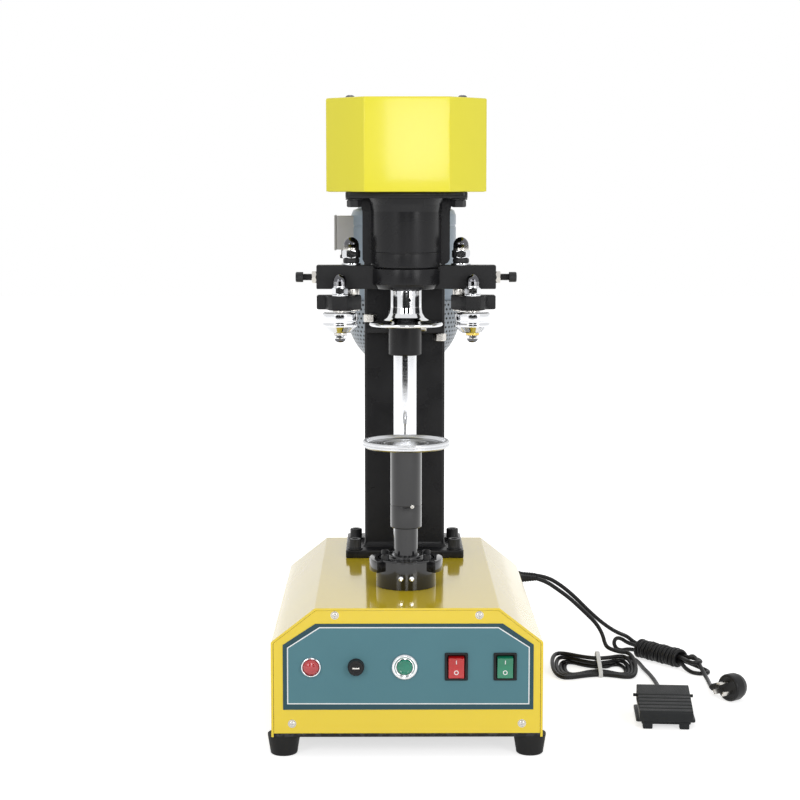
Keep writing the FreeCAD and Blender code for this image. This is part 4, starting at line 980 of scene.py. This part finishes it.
hubBolt = {"x": 24.0, "y": 15.0, "seat": 201, "reach": 4.6, "height": 5.5, "socket": 2.3, "depth": 3.4,
           "knurl": 20}
stopScrew = {"x": 6.2, "y": -34.5, "z": 182.4,
             "profile": [(0, -1, 0), (2.8, -1), (2.8, 2.4), (2.2, 3.0), (0, 3.0, 0)]}
hubScrews = []
for x in (-hubBolt["x"], hubBolt["x"]):
    for y in (-hubBolt["y"], hubBolt["y"]):
        head = capScrew((x, y, hubBolt["seat"]), "z", hubBolt["reach"], hubBolt["height"], hubBolt["socket"],
                        hubBolt["depth"], hubBolt["knurl"])
        hubScrews.append((head, "blackSteel"))
for x in (-stopScrew["x"], stopScrew["x"]):
    end = lathe(stopScrew["profile"], (x, stopScrew["y"], stopScrew["z"]), "-y", radius=0.3, steps=40)
    hubScrews.append((end, "chrome"))
piece("hubBolts", hubScrews, "frame", ["hub_bolts"])

liftRod = {"profile": [(0, 63, 0), (12.9, 63), (13.5, 63.8), (13.5, 287.2), (12.9, 288), (0, 288, 0)],
           "keyAngle": 4.9, "keyHalf": 0.09, "keyTop": 286}


# Keyway: a shallow flat sector of the rod, at its front right.
def rodKeyway(angle, height):
    inKey = np.abs(angle - liftRod["keyAngle"]) < liftRod["keyHalf"]
    return 1 - 0.05 * inKey * (height < liftRod["keyTop"])


rod = lathe(liftRod["profile"], radius=0.3, steps=96, wave=rodKeyway)
piece("liftRod", [(rod, "glossBlack")], "lift", ["lift_rod"])

sleeve = {"profile": [(0, 323, 0), (13.6, 323), (13.6, 236.4), (17.2, 236.4), (18, 237.3), (18, 262.1, 0.2),
                      (17.65, 262.45, 0.1), (17.65, 262.95, 0.1), (18, 263.3, 0.2), (18, 329.5, 0),
                      (0, 329.5, 0)],
          "screw": [(0, 0, 0), (2.2, 0), (2.2, 0.7), (1.0, 0.8), (1.0, -0.2), (0, -0.2, 0)],
          "screwPlace": (7.0, -16.5, 262.7)}
setScrew = lathe(sleeve["screw"], sleeve["screwPlace"], "-y", radius=0.2, steps=32)
sleevePairs = [(lathe(sleeve["profile"], radius=0.5, steps=96), "glossBlack"), (setScrew, "screwSteel")]
piece("heightSleeve", sleevePairs, "seat", ["height_sleeve"])

platform = {"profile": [(0, 329.5, 0), (46.5, 329.5), (48.2, 330.4), (50, 331.4), (50, 333.4, 0.2),
                        (49.6, 333.8, 0.1), (49.6, 334.3, 0.1), (50, 334.7, 0.2), (50, 336.9), (48.9, 338),
                        (46.3, 338), (45.6, 337.4), (44.6, 336.0), (43.4, 334.6), (42.3, 334.2),
                        (26.0, 334.2, 0.3),
                        (25.7, 333.95, 0.1), (25.0, 333.95, 0.1), (24.7, 334.2, 0.3), (0, 334.2, 0)],
            "round": 0.45}
dish = lathe(platform["profile"], radius=platform["round"], steps=144)
piece("canPlatform", [(dish, "turnedSteel")], "seat", ["can_platform"])

# Guide post with its bracket, clamp screw and nuts.
guide = {"centre": (0, 132, 0), "post": [(0, 165.5, 0), (14.4, 165.5), (14.4, 477), (13.4, 478), (0, 478, 0)],
         "collar": [(14.5, 425), (18.8, 425), (20.2, 426.3), (20.2, 478.6), (18.8, 480), (14.5, 480)],
         "clamp": [(0, 0, 0), (4.6, 0), (4.6, 6.2), (4.0, 6.8), (0, 6.8, 0)], "clampPlace": (19, 132, 458),
         "nutRow": 175.5, "nutRadius": 8.0}
post = lathe(guide["post"], guide["centre"], radius=0.5, steps=96)
piece("guidePost", [(post, "chrome")], "frame", ["guide_post"])


# Clamp screw knurl: 20 flutes between its ends.
def clampKnurl(angle, height):
    return 1 - 0.06 * (np.sin(20 * angle) > 0) * (height > 0.6) * (height < 6.2)


collar = lathe(guide["collar"], guide["centre"], radius=0.8, steps=96, closed=True)
clamp = lathe(guide["clamp"], guide["clampPlace"], "x", radius=0.4, steps=80, wave=clampKnurl)
bracketPairs = [(collar, "blackPaint"), (box(-13, 13, 147.2, 183, 440, 470, 0.8, 1.0), "blackPaint"),
                (box(-49, 49, 171, 183, 448, 462, 1.0, 1.0), "blackPaint"), (clamp, "screwSteel")]
piece("guideBracket", bracketPairs, "frame", ["guide_bracket"])
nutPairs = [(hexNut(-43, guide["nutRow"], 462, 471.5, guide["nutRadius"]), "screwSteel"),
            (hexNut(43.5, guide["nutRow"], 438.5, 448, guide["nutRadius"]), "screwSteel")]
piece("bracketBolts", nutPairs, "frame", ["bracket_bolts"])
print("column and lift done")

# Head casting: a barrel that flares under the top plate, side ribs and webs that flare with it, and its back.
casting = {"barrel": [(30, 536.2), (38.6, 536.2), (40, 537.6), (40, 552.6, 0.3), (39.5, 553.2, 0.2),
                      (39.5, 554.0, 0.2), (40, 554.6, 0.3), (40, 600), (41.4, 608), (45, 615.0, 0),
                      (30, 615.0, 0)],
           "rib": [(-36, 543), (-45.5, 543), (-47.5, 546), (-47.5, 600), (-49.5, 608), (-56, 615),
                   (-36, 615)],
           "web": [(-28, 576), (-34, 576), (-34, 612), (-42, 615), (-28, 615)]}
castingPairs = [(lathe(casting["barrel"], radius=1.6, steps=120, closed=True), "blackPaint")]
for side in (-1, 1):
    rib = [(-side * x, z) for x, z in casting["rib"]][::-side]
    web = [(-side * x, z) for x, z in casting["web"]][::-side]
    castingPairs.append((slab(rib, -5, 5, "xz", corner=2.5, rim=2.2), "blackPaint"))
    castingPairs.append((slab(web, 30, 183, "xz", corner=1.5, rim=1.0), "blackPaint"))
castingPairs.append((box(-33, 33, 30, 183, 577, 615, 1.5, 1.0), "blackPaint"))
castingPairs.append((box(-50, 50, 171, 183, 505, 615, 1.5, 1.0), "blackPaint"))
piece("headCasting", castingPairs, "frame", ["head_casting"])
piece("topPlate", [(box(-68, 68, -50, 413, 615, 622, 6.0, 1.0), "blackPaint")], "frame", ["top_plate"])

plateBolt = {"side": 58.5, "rows": (-35.0, 60.0), "low": 605.0, "seat": 613.2, "top": 615, "hexagon": 8.2,
             "washer": 9.6}
heads = []
for x in (-plateBolt["side"], plateBolt["side"]):
    for y in plateBolt["rows"]:
        heads.append((hexNut(x, y, plateBolt["low"], plateBolt["seat"], plateBolt["hexagon"]), "blackSteel"))
        heads.append((disc(plateBolt["washer"], plateBolt["seat"], plateBolt["top"], x, y, steps=48),
                      "blackSteel"))
piece("plateBolts", heads, "frame", ["plate_bolts"])

# Head cover: an eight-sided sheet cap, open below, carried down inside, round the lip and up outside.
headCover = {"outline": [(-47, -65), (47, -65), (90, -22), (90, 372), (47, 415), (-47, 415), (-90, 372),
                         (-90, -22)],
             "steps": [(2.0, 724.2), (2.0, 622.6), (1.7, 622.4), (0.3, 622.4), (0, 622.7), (0, 723.9),
                       (0.4, 725.2),
                       (1.1, 725.9), (2.3, 726.2)],
             "corner": 2.6, "top": 726.2}
shell = stacked(headCover["outline"], headCover["steps"], corner=headCover["corner"], steps=5)
# The cover's paler yellow is painted brighter light on the base's yellow paint.
piece("headCover", [(shell, "headYellowPaintedLit")], "frame", ["head_cover"])
coverScrew = {"side": 63.0, "rows": (-16.0, 360.0), "seat": 726.8, "reach": 5.4, "rise": 3.2, "slot": 0.6,
              "arm": 2.9, "washer": 6.6, "washerTop": 726.9}
caps = []
for x in (-coverScrew["side"], coverScrew["side"]):
    for y in coverScrew["rows"]:
        head = crossHead((x, y, coverScrew["seat"]), "z", coverScrew["reach"], coverScrew["rise"],
                         coverScrew["slot"], coverScrew["arm"])
        caps.append((head, "darkChrome"))
        washer = disc(coverScrew["washer"], headCover["top"], coverScrew["washerTop"], x, y, 0.2, 40)
        caps.append((washer, "screwSteel"))
piece("coverScrews", caps, "frame", ["cover_screws"])

motorSpec = {"centre": (0, 338, 0), "fins": 36, "finLow": 509.5, "finHigh": 575.5,
             "profile": [(0, 470, 0), (69, 470), (69, 505, 0.4), (68.2, 506, 0.3), (68.2, 508, 0.3),
                         (69, 509, 0.4),
                         (69, 576, 0.4), (68.2, 577, 0.3), (68.2, 579, 0.3), (69, 580, 0.4), (69, 592),
                         (66.4, 598.4), (60, 601), (60, 615, 0.4), (0, 615, 0)]}


# Motor ribs: the radius dips between the ribs of the middle band.
def motorRibs(angle, height):
    between = np.sin(motorSpec["fins"] * angle) > 0.55
    return 1 - 0.012 * between * (height > motorSpec["finLow"]) * (height < motorSpec["finHigh"])


motor = lathe(motorSpec["profile"], motorSpec["centre"], radius=2.0, steps=144, wave=motorRibs)
piece("motorBody", [(motor, "motorGrey")], "frame", ["motor_body"], sharp=40)

# Fan cover: a band that runs into part of a sphere with a flat end, and a lining a sheet's thickness inside.
fanSpec = {"outer": 75, "inner": 73, "level": 462.5, "flat": 60.5, "top": 482, "bottom": 402,
           "liningFlat": 43.2}
arcAngle = np.linspace(0, math.asin(fanSpec["flat"] / fanSpec["outer"]), 14)


def fanArc(radius):
    return [(radius * math.cos(t), fanSpec["level"] - radius * math.sin(t), 0) for t in arcAngle]


fanProfile = [(71, fanSpec["top"]), (75, 481.4), (75, fanSpec["level"], 0)] + fanArc(fanSpec["outer"])[1:]
fanProfile.append((0, fanSpec["bottom"], 0))
fanBack = [(0, 404, 0), (fanSpec["liningFlat"], 404, 0)] + fanArc(fanSpec["inner"])[::-1][1:]
fanBack.append((71, fanSpec["top"]))
fan = lathe(fanProfile, motorSpec["centre"], radius=0.8, steps=128)
fanLining = lathe(fanBack, motorSpec["centre"], radius=0.4, steps=96)
fanPairs = [(fan, "fanGrey"), (fanLining, "blackPaint")]
piece("fanCover", fanPairs, "frame", ["fan_cover"], sharp=50)

gland = lathe([(0, 0, 0), (8, 0), (8, 4), (6.4, 5), (6.4, 11), (0, 11, 0)], (-76, 338, 535.2), radius=0.5,
              steps=48)
terminalPairs = [(box(-89, -62, 317, 359, 547, 591, 3.0, 1.2), "boxGrey"),
                 (box(-91, -88.4, 316, 360, 546, 592, 3.0, 1.0), "boxGrey"), (gland, "blackPlastic")]
piece("terminalBox", terminalPairs, "frame", ["terminal_box"])
print("head done")

# Crossbar: the bar and the turned hub disc that it passes through.
crossbar = {"half": 102, "depth": 13, "low": 512.4, "high": 539.2,
            "hub": [(18, 512.4), (34, 512.4), (40, 518.4), (40, 535.8), (18, 535.8)]}
bar = box(-crossbar["half"], crossbar["half"], -crossbar["depth"], crossbar["depth"], crossbar["low"],
          crossbar["high"], 1.4, 1.1)
hubDisc = lathe(crossbar["hub"], radius=1.6, steps=120, closed=True)
piece("crossbar", [(bar, "castBlack"), (hubDisc, "blackPaint")], "head", ["crossbar"])


# Dome of a cap nut: a quarter ellipse from its rim to its top, on a plain foot.
def dome(x, y, foot, base, reach, top):
    turns = np.linspace(0, math.pi / 2, 9)[1:]
    cap = [(reach * math.cos(t), base + (top - base) * math.sin(t), 0) for t in turns]
    return lathe([(0, foot, 0), (reach, foot, 0), (reach, base, 0)] + cap, (x, y, 0), steps=64)


pivot = {"side": 62.5, "shank": [(0, 487.1, 0), (9.3, 487.1), (9.3, 488.7), (5.95, 489.0), (5.95, 505.2),
                                 (9.3, 505.6), (9.3, 512.3), (0, 512.3, 0)],
         "ring": [(0, 541.4, 0), (8.6, 541.4), (9.4, 543.0), (9.4, 545.4), (8.6, 547.0), (0, 547.0, 0)],
         "neck": [(0, 556, 0), (9.0, 556), (8.8, 558), (8.8, 561.5, 0), (0, 561.5, 0)]}
adjuster = {"level": 525.5, "head": 117.5, "reach": 5.8, "height": 8.5, "socket": 2.9, "depth": 3.6,
            "knurl": 22,
            "crest": 3.95, "root": 3.45, "from": 100, "to": 118, "pitch": 0.6, "nut": (102.0, 107.5, 7.6)}
pivots, adjusters = [], []
thread = [(0, adjuster["from"], 0)]
for k in range(round((adjuster["to"] - adjuster["from"]) / adjuster["pitch"])):
    thread.append((adjuster["crest"] if k % 2 else adjuster["root"], adjuster["from"] + adjuster["pitch"] * k,
                   0))
thread.append((0, adjuster["to"], 0))
for side, axis in ((-1, "-x"), (1, "x")):
    x = side * pivot["side"]
    pivots += [(disc(11.3, 539.2, 541.4, x, 0, steps=64), "chrome"),
               (lathe(pivot["ring"], (x, 0, 0), radius=0.6, steps=64), "blackSteel"),
               (dome(x, 0, 555.6, 561.5, 8.8, 571.0), "darkChrome"),
               (lathe(pivot["neck"], (x, 0, 0), radius=0.3, steps=64), "screwSteel"),
               (hexNut(x, 0, 547.0, 556.6, 10.4), "chrome"),
               (lathe(pivot["shank"], (x, 0, 0), radius=0.3, steps=64), "screwSteel")]
    head = capScrew((side * adjuster["head"], 0, adjuster["level"]), axis, adjuster["reach"],
                    adjuster["height"],
                    adjuster["socket"], adjuster["depth"], adjuster["knurl"])
    nut = hexNut(0, 0, *adjuster["nut"], axis, (0, 0, adjuster["level"]))
    adjusters += [(head, "blackSteel"), (lathe(thread, (0, 0, adjuster["level"]), axis, steps=32),
                                         "blackSteel"),
                  (nut, "screwSteel")]
piece("pivotBolts", pivots, "head", ["pivot_bolts"])
piece("adjustingScrews", adjusters, "head", ["adjusting_screws"])

# Roller arms: the left one mirrors the right.
armSpec = {"outline": [(51, -8), (61, -26), (67, -35.5), (83, -35.5), (88, -28), (92, -13), (102, -11),
                       (102, 10),
                       (60, 12.5), (51.5, 8)], "low": 489.0, "high": 505.0, "corner": 3.0, "rim": 1.6}
arm = slab(armSpec["outline"], armSpec["low"], armSpec["high"], corner=armSpec["corner"], rim=armSpec["rim"])
piece("rollerArmRight", [(arm, "castBlack")], "arm_right", ["roller_arm_right"])
piece("rollerArmLeft", [(mirror(arm), "castBlack")], "arm_left", ["roller_arm_left"])

# Roller pins and rollers, the same on both sides but for the lower ring's metal.
rollerSpec = {"side": 75.0, "y": -24.0,
              "neck": [(0, 515, 0), (7.9, 515), (7.7, 516.5), (7.7, 521.5, 0), (0, 521.5, 0)],
              "lowCap": [(0, 452.3, 0), (3.4, 452.9), (5.6, 454.6), (6.6, 457.2, 0), (0, 457.2, 0)],
              "roller": [(5.1, 464), (12.2, 464), (14.0, 465.2), (18.6, 469.8), (20, 471.2), (20, 473.8),
                         (19.2, 474.6), (19.2, 477.0), (20, 477.8), (20, 484.8), (19.2, 486.2), (17.6, 486.7),
                         (5.1, 486.7)]}
for side, name, low, ringMetal in ((-1, "Left", "left", "screwSteel"), (1, "Right", "right", "brassRing")):
    x = side * rollerSpec["side"]
    y = rollerSpec["y"]
    pinPairs = [(disc(9.2, 505, 507, x, y), "chrome"), (dome(x, y, 514.2, 521.5, 7.7, 530.0), "darkChrome"),
                (lathe(rollerSpec["neck"], (x, y, 0), radius=0.3, steps=56), "chrome"),
                (hexNut(x, y, 507.0, 515.2, 8.9), "chrome"),
                (disc(4.95, 461, 505.2, x, y, 0.3, 40), "screwSteel"),
                (disc(8, 487.1, 489, x, y, 0.3), "screwSteel"),
                (disc(7.6, 461.2, 463.8, x, y, 0.5), ringMetal), (hexNut(x, y, 457.0, 461.2, 8.2), "chrome"),
                (lathe(rollerSpec["lowCap"], (x, y, 0), radius=1.4, steps=56), "darkChrome")]
    piece("rollerPin" + name, pinPairs, "arm_" + low, ["roller_pin_" + low])
    roller = lathe(rollerSpec["roller"], (x, y, 0), radius=0.5, steps=128, closed=True)
    piece("roller" + name, [(roller, "chrome")], "wheel_" + low, ["roller_" + low])

chuck = {"profile": [(0, 469.6, 0), (24.0, 469.6, 0.3), (24.4, 469.9, 0.1), (25.2, 469.9, 0.1),
                     (25.6, 469.6, 0.3),
                     (40.4, 469.6), (42, 470.8), (42, 472.6), (41.0, 473.6), (36, 474.2), (26, 476.4),
                     (21.2, 479.6),
                     (18.4, 484.6), (17.5, 491), (17.5, 510.8), (16.4, 511.9), (0, 511.9, 0)],
         "hole": [(0, -0.6, 0), (2.4, -0.6, 0.1), (2.9, 0.1, 0.1), (0, 0.12, 0)],
         "holePlace": (2.7, -17.25, 500)}
chuckPairs = [(lathe(chuck["profile"], radius=2.2, steps=144), "chrome"),
              (lathe(chuck["hole"], chuck["holePlace"], "-y", steps=40), "glossBlack")]
piece("chuck", chuckPairs, "frame", ["chuck"])
print("seaming head done")

# Foot pedal, built square and then turned to its place.
pedal = {"place": (302.5, -22, 0), "turn": -4.6,
         "pin": [(0, -35.5, 0), (1.9, -35.5), (1.9, 35.5), (0, 35.5, 0)],
         "inlet": [(0, 0, 0), (4.4, 0), (4.4, 4), (3.6, 5), (3.6, 11.6), (0, 11.6, 0)],
         "feetX": (-27.0, 15.5), "feetY": (4.0, 64.0), "lugsX": (-28.0, 23.0)}
pedalPlace = Matrix.Translation(pedal["place"]) @ Matrix.Rotation(math.radians(pedal["turn"]), 4, "Z")
baseParts = [box(-28.5, 28.5, 4, 78, 6, 10.5, 2.0, 0.8), box(-34.5, 34.5, 11, 73, 6.4, 10.2, 3.0, 0.9),
             box(-18, 18, 20, 50, 10, 17, 2.0, 0.8)]
for x in pedal["feetX"]:
    for y in pedal["feetY"]:
        baseParts.append(box(x, x + 11.5, y, y + 12, 0, 7, 2.0, 1.2))
for x in pedal["lugsX"]:
    baseParts.append(box(x, x + 5, 59, 71, 9.5, 28, 1.2, 0.6))
baseParts.append(lathe(pedal["pin"], (0, 65, 24), "x", radius=0.4, steps=32))
baseParts.append(lathe(pedal["inlet"], (0, 88.3, 9), "-y", radius=0.5, steps=40))
pedalPairs = [(moved(part, pedalPlace), "pedalPlastic") for part in baseParts]
piece("pedalBase", pedalPairs, "frame", ["pedal_base"])

# Treadle: a side outline with a rounded nose, carried across the width, and a cheek at each side.
treadleSpec = {"nose": [(0.6, 10), (0, 12), (0, 20.6), (1.6, 22.6)], "grooves": 5, "groovePitch": 9.5,
               "slope": 0.1513,
               "back": [(74, 33.6), (77.4, 33.8), (78, 32.5), (78, 15), (75.6, 14.4), (75.6, 30.6, 0.5),
                        (4, 19.6, 0.5), (2.6, 10)],
               "across": [(0.8, -31), (0.2, -30.7), (0, -30.0), (0, 30.0), (0.2, 30.7), (0.8, 31)],
               "cheek": [(1.0, 11), (77, 14.5), (77, 32.5), (2, 21)], "cheekX": (-31.0, 28.4),
               "cheekWide": 2.6}
outline = list(treadleSpec["nose"])
for k in range(treadleSpec["grooves"]):
    y = 8.0 + treadleSpec["groovePitch"] * k
    z = 22.6 + (y - 2) * treadleSpec["slope"]
    outline += [(y, z, 0.3), (y + 0.9, z - 0.9, 0.2), (y + 2.1, z - 0.7, 0.2), (y + 3.0, z + 0.45, 0.3)]
outline += treadleSpec["back"]
treadleParts = [stacked(rounded(outline, 1.2, steps=3)[::-1], treadleSpec["across"], "yz")]
for x in treadleSpec["cheekX"]:
    treadleParts.append(slab(treadleSpec["cheek"], x, x + treadleSpec["cheekWide"], "yz", 1.4, 0.6))
treadlePairs = [(moved(part, pedalPlace), "pedalPlastic") for part in treadleParts]
piece("pedalTreadle", treadlePairs, "treadle", ["pedal_treadle"])
print("pedal done")

# CAD pieces that stay, with better finishes.
# head_tray takes the head cover's yellow, painted paler as if under brighter light.
kept = {"chassis": "blackPaint", "front_panel": "yellowPaint", "label_plate": "label",
        "head_tray": "headYellowPaintedLit",
        "lift_actuator": "motorGrey", "spindle_bearings": "bearingSteel", "chuck_shaft": "bearingSteel",
        "motor_shaft": "pulleyIron", "drive_belt": "beltRubber", "spindle": "bearingSteel",
        "spindle_pulley": "pulleyIron"}
for node, material in kept.items():
    obj = nodes[node]
    obj.data.materials.clear()
    obj.data.materials.append(materials[material])

low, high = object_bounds()
